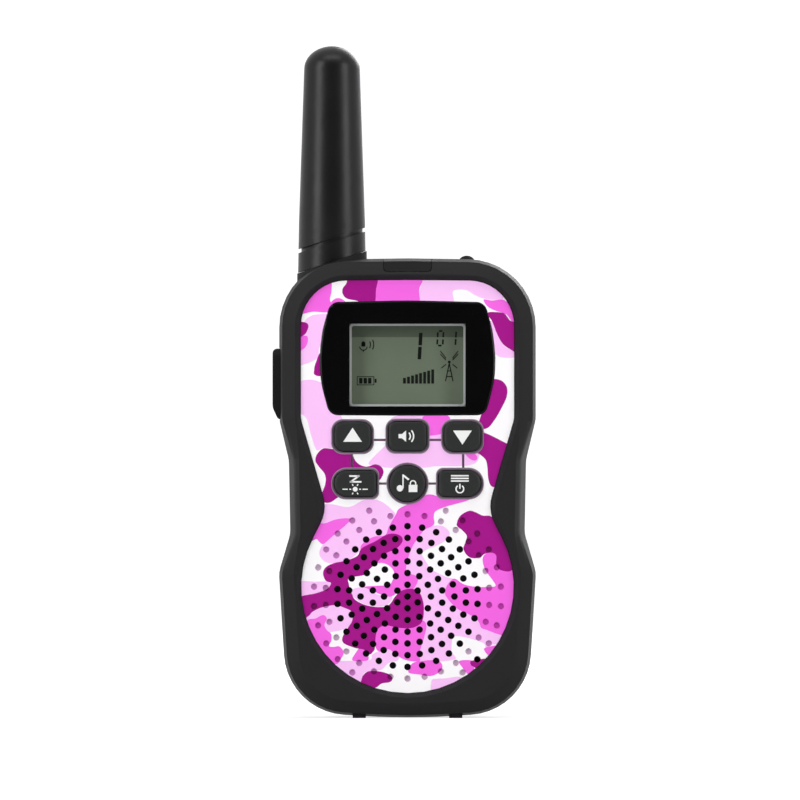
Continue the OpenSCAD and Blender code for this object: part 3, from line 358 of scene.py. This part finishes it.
                 (13.8, 34.1), (12.6, 34.8), (11.9, 36.2), (12.4, 37.7), (12.6, 38.9), (11.7, 40),
                 (10.7, 40.8)]),
    ("magenta", [(-11, 6), (-10, 7.7), (-9.5, 9.1), (-8.3, 10), (-6, 10), (-4, 9.4), (-3.2, 8.5),
                 (-3.8, 7.7), (-5.5, 7.4), (-7.1, 6.4)]),
    ("magenta", [(13.8, 12.3), (17.8, 12.6), (16, 9.8), (14.2, 10.9), (13.5, 11.4)]),
    ("white", [(-12.5, 28.6), (-12.4, 29.9), (-9.3, 30.5), (-8.3, 31.5), (-7, 32.7), (-5.5, 33.1),
               (-3.9, 32.5), (-2.9, 31.2), (-3.1, 29.6), (-4.2, 28.1), (-7, 27.8), (-10.5, 27.6),
               (-12, 27.2)]),
    ("pink", [(-9.5, 28), (-3.6, 28.2), (-2.2, 27), (-3.6, 25.9), (-5.5, 26.3), (-7.5, 27.2)]),
    ("light", [(-12, 27.2), (-10, 27.9), (-8.5, 27.6), (-6.5, 26.4), (-4.6, 25.8), (-3.2, 25.9),
               (-4, 24.4), (-6, 23.8), (-8.8, 24.2), (-11, 25.4)]),
]


def smooth_loop(corners, steps=6):
    """A closed curve that runs smoothly through its corners."""
    points = np.array(corners, float)
    before = np.roll(points, 1, axis=0)
    after = np.roll(points, -1, axis=0)
    beyond = np.roll(points, -2, axis=0)
    curve = []
    for step in range(steps):
        t = step / steps
        curve.append(0.5 * (
            2 * points
            + (after - before) * t
            + (2 * before - 5 * points + 4 * after - beyond) * t ** 2
            + (3 * points - before - 3 * after + beyond) * t ** 3
        ))
    return np.stack(curve, axis=1).reshape(-1, 2)


def inside(loop, spots):
    """Which spots lie inside a closed loop."""
    x, z = spots[:, 0], spots[:, 1]
    odd = np.zeros(len(spots), bool)
    for (x0, z0), (x1, z1) in zip(loop, np.roll(loop, -1, axis=0)):
        if z0 != z1:
            crosses = ((z0 > z) != (z1 > z)) & (x < (x1 - x0) * (z - z0) / (z1 - z0) + x0)
            odd ^= crosses
    return odd


def level_faces(mesh, depth, side=-1):
    """The faces at one depth that look forward, or back where side is 1, as corners in millimetres."""
    corners = [tuple(v.co / mm) for v in mesh.vertices]
    return [
        [corners[i] for i in face.vertices]
        for face in mesh.polygons
        if face.normal.y * side > 0.999 and abs(face.center.y / mm - depth) < 0.002
    ]


def rims(faces):
    """The closed loops that bound a set of flat faces, each as points (x, z) in order."""
    uses = {}
    for face in faces:
        flat = [(round(x, 4), round(z, 4)) for x, _, z in face]
        for a, b in zip(flat, flat[1:] + flat[:1]):
            if (b, a) in uses:
                del uses[(b, a)]
            else:
                uses[(a, b)] = True
    onward = {}
    for a, b in uses:
        onward.setdefault(a, []).append(b)
    loops = []
    while onward:
        start = next(iter(onward))
        loop, here = [], start
        while here in onward:
            loop.append(here)
            following = onward[here].pop()
            if not onward[here]:
                del onward[here]
            here = following
        loops.append(np.array(loop))
    return loops


front_faces = level_faces(panel.data, panel_front)
face_rims = rims(front_faces)
dimples = [
    loop for loop in rims(level_faces(panel.data, panel_front + dimple_depth))
    if np.ptp(loop[:, 0]) < hole_limit and np.ptp(loop[:, 1]) < hole_limit
]
points, edges = [], []


def add_loop(loop):
    """Adds a closed loop to the points and edges that the film is cut from."""
    start = len(points)
    points.extend(Vector(p) for p in loop)
    edges.extend((start + i, start + (i + 1) % len(loop)) for i in range(len(loop)))


for loop in face_rims:
    add_loop(loop)
dimple_spots = np.array([loop.mean(axis=0) for loop in dimples])
dimple_r = np.ptp(dimples[0][:, 0]) / 2
for loop, spot in zip(dimples, dimple_spots):
    add_loop(spot + (loop - spot) * (1 - dimple_slope / dimple_r))
blot_loops = [(name, smooth_loop(corners)) for name, corners in blots]
for _, loop in blot_loops:
    add_loop(loop)
cut = delaunay_2d_cdt(points, edges, [], 0, 0.0004)
flat_points = np.array([tuple(p) for p in cut[0]])
triangles = np.array(cut[2])
centres = flat_points[triangles].mean(axis=1)
front_shape = BVHTree.FromPolygons(
    [corner for face in front_faces for corner in face],
    [tuple(range(3 * i, 3 * i + 3)) for i in range(len(front_faces))],
)
on_front = np.array([
    front_shape.find_nearest((x, panel_front, z))[3] < 0.0005 for x, z in centres
])


def depth_in_dimple(spots):
    """How far each spot of the film is pressed in, and whether it lies in a dimple."""
    gap = np.min(np.linalg.norm(spots[:, None] - dimple_spots[None], axis=2), axis=1)
    return dimple_floor * np.clip((dimple_r - gap) / dimple_slope, 0, 1), gap < dimple_r * 0.999


_, in_dimple = depth_in_dimple(centres)
keep = on_front | in_dimple
triangles = triangles[keep]
centres = centres[keep]
ink_names = list(inks)
colour_of = np.zeros(len(centres), int)
for name, loop in blot_loops:
    colour_of[inside(loop, centres)] = ink_names.index(name)


def pressed_sheet(name, flat, faces, depth, thick):
    """A closed thin sheet over flat points, with its front at the given depths."""
    used, faces = np.unique(faces, return_inverse=True)
    faces = faces.reshape(-1, 3)
    flat, depth = flat[used], depth[used]
    a, b, c = flat[faces[:, 0]], flat[faces[:, 1]], flat[faces[:, 2]]
    turn = np.cross(b - a, c - a) < 0
    faces[turn] = faces[turn][:, ::-1]
    front = np.column_stack([flat[:, 0], depth, flat[:, 1]])
    back = front + [0, thick, 0]
    count = len(flat)
    walls, seen = [], {}
    for i, face in enumerate(faces):
        for p, q in zip(face, np.roll(face, -1)):
            seen[(p, q)] = i
    owners = []
    for (p, q), i in seen.items():
        if (q, p) not in seen:
            walls.append((q, p, p + count, q + count))
            owners.append(i)
    mesh = bpy.data.meshes.new(name)
    mesh.from_pydata(
        (np.vstack([front, back]) * mm).tolist(), [],
        faces.tolist() + (faces[:, ::-1] + count).tolist() + [tuple(int(i) for i in w) for w in walls],
    )
    piece = bpy.data.objects.new(name, mesh)
    bpy.context.scene.collection.objects.link(piece)
    return piece, owners


pressed, _ = depth_in_dimple(flat_points)
film, wall_owner = pressed_sheet(
    "printed_film", flat_points, triangles, panel_front - film_lift + pressed, film_thick
)


def dimple_painted_shade(material):
    """Darkens a print with painted shade where it lies pressed into a dimple."""
    tree = material.node_tree
    place = tree.nodes.new("ShaderNodeTexCoord")
    split = tree.nodes.new("ShaderNodeSeparateXYZ")
    tree.links.new(place.outputs["Object"], split.inputs[0])
    sunk = tree.nodes.new("ShaderNodeMapRange")
    sunk.inputs["From Min"].default_value = (panel_front + 0.05) * mm
    sunk.inputs["From Max"].default_value = (panel_front + 0.25) * mm
    tree.links.new(split.outputs["Y"], sunk.inputs["Value"])
    tint = tree.nodes.new("ShaderNodeMix")
    tint.data_type = "RGBA"
    tint.blend_type = "MULTIPLY"
    # the colour the dimple floors are multiplied by: painted shade in the recess
    tint.inputs[7].default_value = ink(208, 186, 206)
    shader = tree.nodes["Principled BSDF"]
    tree.links.new(sunk.outputs["Result"], tint.inputs[0])
    tree.links.new(shader.inputs["Base Color"].links[0].from_socket, tint.inputs[6])
    tree.links.new(tint.outputs[2], shader.inputs["Base Color"])
    return material


for name in ink_names:
    film.data.materials.append(dimple_painted_shade(
        surface("print_" + name, inks[name], 0.5, grain=0.6, relief=0.003, shade=0.01, gleam=0.2)
    ))
film.data.polygons.foreach_set(
    "material_index", np.concatenate([colour_of, colour_of, colour_of[wall_owner]]).astype(np.int32)
)
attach(film, "radio")
dress(surface("panel_core", ink(122, 84, 118), 0.45, grain=0.3), "face_panel")

# ---------------------------------------------------------------- keys
# Six caps moulded in charcoal rubber on one mat, each with a soft crown. Their signs are printed in white,
# thick enough to feel, and a grey ring is printed on the panel round each moat. A mauve-grey band of painted
# shade lies sunk in each moat.


def flat_print(name, shapes, front, thick, material, body):
    """Flat shapes in millimetres, one inside another being a hole, as one raised print on a body."""
    curve = bpy.data.curves.new(name, "CURVE")
    curve.dimensions = "2D"
    curve.fill_mode = "BOTH"
    curve.extrude = thick / 2 * mm
    for shape in shapes:
        line = curve.splines.new("POLY")
        line.points.add(len(shape) - 1)
        line.points.foreach_set("co", [c for x, z in shape for c in (x * mm, z * mm, 0, 1)])
        line.use_cyclic_u = True
    drawn = bpy.data.objects.new(name, curve)
    bpy.context.scene.collection.objects.link(drawn)
    mesh = bpy.data.meshes.new_from_object(drawn.evaluated_get(bpy.context.evaluated_depsgraph_get()))
    bpy.data.objects.remove(drawn)
    upright = Matrix.Rotation(math.radians(90), 4, "X")
    mesh.transform(Matrix.Translation((0, (front + thick / 2) * mm, 0)) @ upright)
    mesh.materials.clear()
    mesh.materials.append(material)
    piece = bpy.data.objects.new(name, mesh)
    bpy.context.scene.collection.objects.link(piece)
    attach(piece, body)
    return piece


def arc(x, z, r, start=0, end=360, steps=28):
    """Points on an arc, in degrees anticlockwise from the right."""
    turn = [math.radians(start + (end - start) * i / steps) for i in range(steps + (end - start < 360))]
    return [(x + r * math.cos(a), z + r * math.sin(a)) for a in turn]


def stroke(line, width):
    """The outline of a line of that width."""
    path = np.array(line, float)
    along = np.gradient(path, axis=0)
    for i in range(1, len(path) - 1):
        u = (path[i] - path[i - 1]) / np.linalg.norm(path[i] - path[i - 1])
        w = (path[i + 1] - path[i]) / np.linalg.norm(path[i + 1] - path[i])
        along[i] = (u + w) / max(0.5, (1 + u @ w)) if u @ w > -0.7 else u + w
    along[0] /= np.linalg.norm(along[0])
    along[-1] /= np.linalg.norm(along[-1])
    side = np.column_stack([-along[:, 1], along[:, 0]]) * width / 2
    return [tuple(p) for p in np.vstack([path + side, (path - side)[::-1]])]


def bar(x0, z0, x1, z1):
    """The corners of a box."""
    return [(x0, z0), (x1, z0), (x1, z1), (x0, z1)]


charcoal = surface("charcoal_rubber", ink(36, 38, 37), 0.5, grain=0.3, relief=0.006, gleam=0.2)
white_print = surface("white_print", ink(238, 239, 238), 0.45, grain=0.3, relief=0.003, shade=0.02)
keys = {}
for name in ("up_key", "monitor_key", "down_key", "lamp_key", "call_key", "menu_key"):
    low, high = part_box(name)
    keys[name] = ((low + high) / 2 / mm, low.y / mm)
    dress(charcoal, name)
up_x, up_z = keys["up_key"][0].x, keys["up_key"][0].z
down_x, down_z = keys["down_key"][0].x, keys["down_key"][0].z
mon_z = keys["monitor_key"][0].z
lamp_x, row_z = keys["lamp_key"][0].x, keys["lamp_key"][0].z
menu_x = keys["menu_key"][0].x
signs = {
    "up_key": [[(up_x - 2, up_z - 1.1), (up_x + 2, up_z - 1.1), (up_x, up_z + 1.9)]],
    "down_key": [[(down_x - 2, down_z + 1.3), (down_x + 2, down_z + 1.3), (down_x, down_z - 1.7)]],
    "monitor_key": [
        [(-1.9, mon_z - 0.45), (-1.2, mon_z - 0.45), (-0.3, mon_z - 1.2), (-0.3, mon_z + 1.2),
         (-1.2, mon_z + 0.45), (-1.9, mon_z + 0.45)],
        stroke(arc(-0.5, mon_z, 1.1, -42, 42, 8), 0.3),
        stroke(arc(-0.5, mon_z, 1.8, -42, 42, 10), 0.3),
    ],
    "lamp_key": [
        stroke([(lamp_x - 1.25, row_z + 1.6), (lamp_x + 0.75, row_z + 1.6)], 0.36),
        stroke([(lamp_x + 0.9, row_z + 1.72), (lamp_x - 1.0, row_z + 0.32)], 0.36),
        stroke([(lamp_x - 1.15, row_z + 0.38), (lamp_x + 1.35, row_z + 0.38)], 0.36),
        arc(lamp_x, row_z - 1.2, 0.52),
        *[stroke([(lamp_x + 0.85 * math.cos(a), row_z - 1.2 + 0.85 * math.sin(a)),
                  (lamp_x + 1.25 * math.cos(a), row_z - 1.2 + 1.25 * math.sin(a))], 0.24)
          for a in [math.radians(i * 60) for i in range(6)] if abs(math.sin(a)) < 0.9],
        bar(lamp_x - 2.7, row_z - 1.32, lamp_x - 1.6, row_z - 1.08),
        bar(lamp_x + 1.6, row_z - 1.32, lamp_x + 2.7, row_z - 1.08),
    ],
    "call_key": [
        arc(-1.62, row_z - 1.0, 0.68),
        bar(-1.1, row_z - 1.0, -0.82, row_z + 1.95),
        [(-0.83, row_z + 1.95), (-0.83, row_z + 1.45), (0.1, row_z + 0.7), (0.45, row_z + 0.95)],
        bar(0.25, row_z - 1.8, 2.1, row_z - 0.25),
        stroke([(0.6, row_z - 0.3), *arc(1.17, row_z + 0.05, 0.57, 180, 0, 10), (1.74, row_z - 0.3)], 0.26),
    ],
    "menu_key": [
        *[bar(menu_x - 1.9, row_z + 0.4 + 0.56 * i, menu_x + 1.9, row_z + 0.7 + 0.56 * i) for i in range(3)],
        stroke(arc(menu_x, row_z - 1.15, 0.82, 125, 415, 26), 0.28),
        bar(menu_x - 0.14, row_z - 1.1, menu_x + 0.14, row_z - 0.05),
    ],
}
sign_lift = 0.02
sign_thick = 0.06
for name, shapes in signs.items():
    for i, shape in enumerate(shapes):
        flat_print(f"{name}_sign_{i}", [shape], keys[name][1] - sign_lift, sign_thick, white_print,
                   name)

ring_print = surface("ring_print", ink(150, 138, 150), 0.5, grain=0.3, relief=0.003, shade=0.03, gleam=0.2)
painted_moat_shade = surface("painted_moat_shade", ink(120, 104, 120), 0.6, grain=0.3, relief=0.003, gleam=0.2)
panel_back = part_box("face_panel")[1].y / mm
narrow_moat = 5
wide_moat = 12
ring_width = 0.2
ring_thick = 0.03
moat_shade_width = 0.28
moat_shade_sunk = 0.1


def resized(loop, by):
    """A loop whose every side moves outward by that much."""
    middle = (loop.max(axis=0) + loop.min(axis=0)) / 2
    return (middle + (loop - middle) * (1 + 2 * by / np.ptp(loop, axis=0))).tolist()


for loop in rims(level_faces(panel.data, panel_back, 1)):
    if narrow_moat < np.ptp(loop[:, 0]) < wide_moat:
        x, z = (loop.max(axis=0) + loop.min(axis=0)) / 2
        spot = f"{x:.0f}_{z:.0f}"
        flat_print("key_ring_" + spot, [resized(loop, ring_width), loop.tolist()],
                   panel_front - film_lift - ring_thick, ring_thick, ring_print, "radio")
        # a mauve-grey band sunk a little behind the panel front in each moat: painted shade for the darkened
        # print there
        flat_print("key_moat_shade_" + spot, [resized(loop, 0.02), resized(loop, -moat_shade_width)],
                   panel_front + moat_shade_sunk, moat_shade_sunk, painted_moat_shade, "radio")

# ---------------------------------------------------------------- display
# A smoked window, painted black on its back round the display. Behind it sit a plated frame and a grey-green
# liquid crystal glass, whose segments are etched electrodes that turn dark. A darker strip across the top of
# the glass is a painted shadow of the window's upper edge.
window_low, window_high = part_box("display_window")
frame_low, frame_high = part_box("lcd_frame")
glass_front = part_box("lcd_glass")[0].y / mm
rim = Vector((0.4 * mm, 0, 0.4 * mm))
clear_low = frame_low + rim
clear_high = frame_high - rim
window_paint = surface("window_paint", ink(5, 5, 6), 0.15, grain=0.5, relief=0.001, gleam=0.12)
tree = window_paint.node_tree
place = tree.nodes.new("ShaderNodeTexCoord")
split = tree.nodes.new("ShaderNodeSeparateXYZ")
tree.links.new(place.outputs["Object"], split.inputs[0])
clear = None
for axis, low, high in (("X", clear_low.x, clear_high.x), ("Z", clear_low.z, clear_high.z)):
    for test, edge in (("GREATER_THAN", low), ("LESS_THAN", high)):
        compare = tree.nodes.new("ShaderNodeMath")
        compare.operation = test
        compare.inputs[1].default_value = edge
        tree.links.new(split.outputs[axis], compare.inputs[0])
        if clear:
            both = tree.nodes.new("ShaderNodeMath")
            both.operation = "MULTIPLY"
            tree.links.new(clear.outputs[0], both.inputs[0])
            tree.links.new(compare.outputs[0], both.inputs[1])
            clear = both
        else:
            clear = compare
solid = tree.nodes.new("ShaderNodeMapRange")
solid.inputs["To Min"].default_value = 1.0
solid.inputs["To Max"].default_value = 0.06
tree.links.new(clear.outputs[0], solid.inputs["Value"])
tree.links.new(solid.outputs["Result"], tree.nodes["Principled BSDF"].inputs["Alpha"])
dress(window_paint, "display_window")

plated = surface("plated_metal", ink(205, 206, 208), 0.3, metal=0.85, grain=0.4, relief=0.002, shade=0.05)
dress(plated, "lcd_frame")
lcd_green = surface("liquid_crystal", ink(112, 124, 105), 0.5, grain=0.8, relief=0.001, shade=0.03, gleam=0.2)
dress(lcd_green, "lcd_glass")
dress(surface("milky_diffuser", ink(226, 230, 222), 0.5), "backlight_plate")
dress(surface("pink_elastomer", ink(214, 138, 150), 0.7), "connector_strip")

round_corner = 0.75
liner_low = (clear_low.x / mm, clear_low.z / mm)
liner_high = (clear_high.x / mm, clear_high.z / mm)


def round_box(x0, z0, x1, z1, r):
    """A box with round corners, as points."""
    return [
        *arc(x1 - r, z1 - r, r, 0, 90, 6), *arc(x0 + r, z1 - r, r, 90, 180, 6),
        *arc(x0 + r, z0 + r, r, 180, 270, 6), *arc(x1 - r, z0 + r, r, 270, 360, 6)[:-1],
        (x1, z0 + r),
    ]


liner = 0.45
flat_print(
    "display_liner",
    [round_box(*liner_low, *liner_high, round_corner),
     round_box(liner_low[0] + liner, liner_low[1] + liner, liner_high[0] - liner, liner_high[1] - liner,
               round_corner - 0.25)],
    panel_back + 0.02, 0.06,
    surface("silver_print", ink(206, 208, 208), 0.4, metal=0.2, grain=0.3, relief=0.002, shade=0.03),
    "radio",
)

segment_ink = surface("segment_dark", ink(12, 15, 12), 0.6, grain=0.4, relief=0.001, shade=0.05, gleam=0.1)
segment_front = glass_front - 0.03


def digit(x, z, wide, tall, lean, lit, thick, cut):
    """The lit strokes of a seven-stroke numeral that leans to the right."""
    marks = {
        "top": [(cut, tall), (wide - cut, tall)],
        "middle": [(cut, tall / 2), (wide - cut, tall / 2)],
        "bottom": [(cut, 0), (wide - cut, 0)],
        "upper left": [(0, tall / 2 + cut), (0, tall - cut)],
        "upper right": [(wide, tall / 2 + cut), (wide, tall - cut)],
        "lower left": [(0, cut), (0, tall / 2 - cut)],
        "lower right": [(wide, cut), (wide, tall / 2 - cut)],
    }
    return [stroke([(x + a + b * lean, z + b) for a, b in marks[name]], thick) for name in lit]


one = ("upper right", "lower right")
zero = ("top", "bottom", "upper left", "upper right", "lower left", "lower right")
segments = [
    *digit(0.4, 76.3, 2.1, 6, 0.06, one, 0.75, 0.18),
    *digit(6.3, 79.4, 1.2, 3.1, 0.06, zero, 0.36, 0.24),
    *digit(9.0, 79.4, 1.2, 3.1, 0.06, one, 0.36, 0.16),
    *[bar(-0.95 + 0.86 * i, 71.3, -0.35 + 0.86 * i, 72.5 + 0.26 * i) for i in range(8)],
    *[bar(-10.3 + 0.95 * i, 71.3, -9.6 + 0.95 * i, 72.5) for i in range(3)],
    bar(-10.7, 70.95, -7.2, 71.1),
    bar(-10.7, 72.7, -7.2, 72.85),
    bar(-10.8, 70.95, -10.65, 72.85),
    bar(-7.25, 70.95, -7.1, 72.85),
    bar(-7.0, 71.5, -6.6, 72.3),
    stroke([(8.9, 75.6), (8.1, 71.8)], 0.22),
    stroke([(8.9, 75.6), (9.7, 71.8)], 0.22),
    bar(8.35, 72.7, 9.45, 72.9),
    bar(8.55, 73.9, 9.25, 74.1),
    arc(8.9, 75.9, 0.3, steps=12),
    *[stroke([(8.9 + s * 0.7, 76.3 + u), (8.9 + s * 1.9, 77.6 + u * 1.6)], 0.2)
      for s in (-1, 1) for u in (0, 0.4)],
    *[stroke([(8.9 + s * 0.7, 75.4), (8.9 + s * 1.7, 74.6)], 0.2) for s in (-1, 1)],
    arc(-9.4, 79.9, 0.42, steps=14),
    bar(-9.82, 79.2, -8.98, 79.9),
    stroke(arc(-9.4, 79.2, 0.8, 180, 360, 10), 0.2),
    bar(-9.5, 78.1, -9.3, 78.5),
    *[stroke(arc(-9.4, 79.6, r, -28, 28, 6), 0.22) for r in (1.5, 2.2)],
]
# a painted shadow: a darker strip over the top of the glass, where the window's upper edge shades it
shade_low = 81.2
flat_print(
    "display_shade",
    [bar(liner_low[0] + liner, shade_low, liner_high[0] - liner, liner_high[1] - liner)],
    glass_front - 0.015, 0.01,
    surface("painted_window_shadow", ink(84, 94, 79), 0.5, shade=0.03, gleam=0.2),
    "radio",
)
for i, shape in enumerate(segments):
    flat_print(f"segment_{i}", [shape], segment_front, 0.03, segment_ink, "radio")

# ---------------------------------------------------------------- lamp
# A smoked window on the crown of the front half, let in flush, with a clear light emitting diode and a
# plated cup behind it on the board.
dress(surface("smoked_window", ink(13, 13, 14), 0.5, grain=0.5, relief=0.001, gleam=0.1), "lamp_lens")
dress(surface("clear_epoxy", ink(228, 230, 216), 0.12), "lamp_led")
dress(plated, "lamp_reflector")

# ---------------------------------------------------------------- talk button
# A long rubber-covered cap on the left side. It slides inward on its flange against a switch on the board.
talk_rubber = surface("talk_rubber", ink(28, 28, 29), 0.6, grain=0.3, relief=0.01, gleam=0.1)
dress(talk_rubber, "talk_button")

# ---------------------------------------------------------------- antenna
# A short helical aerial in a sleeve of satin rubber, with a slanted joint and groove at its foot. Inside
# are the core, the copper coil, a hexagon nut and the contact to the board.
dress(surface("antenna_rubber", ink(13, 13, 14), 0.36, grain=0.5, relief=0.006, shade=0.06, gleam=0.22),
      "antenna_sleeve")
dress(surface("core_nylon", ink(70, 70, 72), 0.5), "antenna_core")
dress(surface("enamelled_copper", ink(190, 110, 60), 0.25, metal=1.0), "antenna_coil")
dress(surface("plated_brass", ink(214, 180, 106), 0.3, metal=1.0), "antenna_nut", "antenna_contact")

# ---------------------------------------------------------------- headset jack
# A soft cover with a moulded finger nub, hinged on a round knuckle, closes the jack on the top right.
dress(surface("soft_cover", ink(28, 28, 29), 0.7, grain=0.3, relief=0.008, gleam=0.1), "jack_cover")
dress(surface("jack_nylon", ink(30, 30, 31), 0.5), "headset_jack")

# ---------------------------------------------------------------- loudspeaker and microphone
# A round loudspeaker with a pressed film cone behind black acoustic cloth, and an electret capsule, faced
# with black felt, in a rubber boot.
cloth = surface("acoustic_cloth", ink(16, 14, 17), 0.95, grain=0.2, relief=0.05)
dress(cloth, "speaker_cloth")
zinc = surface("zinc_plate", ink(186, 188, 192), 0.35, metal=0.9, grain=0.3, relief=0.004, shade=0.08)
dress(zinc, "speaker_frame", "speaker_magnet", "shield_can", "crystal")
dress(surface("black_felt", ink(14, 13, 15), 0.95, grain=0.2, relief=0.03, gleam=0.1), "microphone")
dress(surface("cone_film", ink(48, 48, 50), 0.6), "speaker_cone")
dress(surface("boot_rubber", ink(38, 38, 39), 0.7), "microphone_boot")

# ---------------------------------------------------------------- board
# Glass epoxy with green solder mask. It carries the radio chip under a plated can, the processor, the
# crystal, the talk switch and the key mat.
dress(surface("solder_mask", ink(24, 92, 52), 0.3, grain=1.2, relief=0.01, shade=0.25), "main_board")
dress(surface("moulded_epoxy", ink(34, 34, 36), 0.55), "radio_chip", "processor", "talk_switch")
dress(surface("grey_silicone", ink(150, 152, 154), 0.6), "key_mat")

# ---------------------------------------------------------------- battery bay
# Four AAA cells side by side, between coiled springs and flat plates, under a sliding door.


def sleeve_print(name, colour, band, band_z):
    """A shrink sleeve in two colours that meet at one height."""
    material = surface(name, colour, 0.25, grain=0.5, relief=0.002)
    tree = material.node_tree
    place = tree.nodes.new("ShaderNodeTexCoord")
    split = tree.nodes.new("ShaderNodeSeparateXYZ")
    tree.links.new(place.outputs["Object"], split.inputs[0])
    above = tree.nodes.new("ShaderNodeMath")
    above.operation = "GREATER_THAN"
    above.inputs[1].default_value = band_z
    tree.links.new(split.outputs["Z"], above.inputs[0])
    mix = tree.nodes.new("ShaderNodeMix")
    mix.data_type = "RGBA"
    shader = tree.nodes["Principled BSDF"]
    tint = shader.inputs["Base Color"].links[0].from_socket
    tree.links.new(above.outputs[0], mix.inputs[0])
    tree.links.new(tint, mix.inputs[6])
    mix.inputs[7].default_value = band
    tree.links.new(mix.outputs[2], shader.inputs["Base Color"])
    return material


copper_top = ink(186, 120, 66)
dark_sleeve = ink(30, 32, 34)
for number in range(1, 5):
    name = f"battery_cell_{number}"
    low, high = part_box(name)
    if number % 2:
        share, below, above = 0.7, dark_sleeve, copper_top
    else:
        share, below, above = 0.3, copper_top, dark_sleeve
    dress(sleeve_print(name + "_sleeve", below, above, low.z + (high.z - low.z) * share), name)
dress(zinc, "spring_contacts", "flat_contacts")

# ---------------------------------------------------------------- belt clip
# A nylon base that slides on two lipped rails, and a lever on a steel pin with a coiled steel spring. Base
# and lever are moulded a little smoother than the housing.
clip_nylon = surface("clip_nylon", ink(32, 32, 33), 0.38, grain=0.3, relief=0.008, gleam=0.25)
dress(clip_nylon, "clip_base", "clip_lever")
dress(zinc, "clip_pin", "clip_spring")

# ---------------------------------------------------------------- screws
# Four cross-head screws hold the two halves together and two hold the board. They are cold headed from steel
# wire and zinc plated.
dress(zinc, "housing_screws", "board_screws")
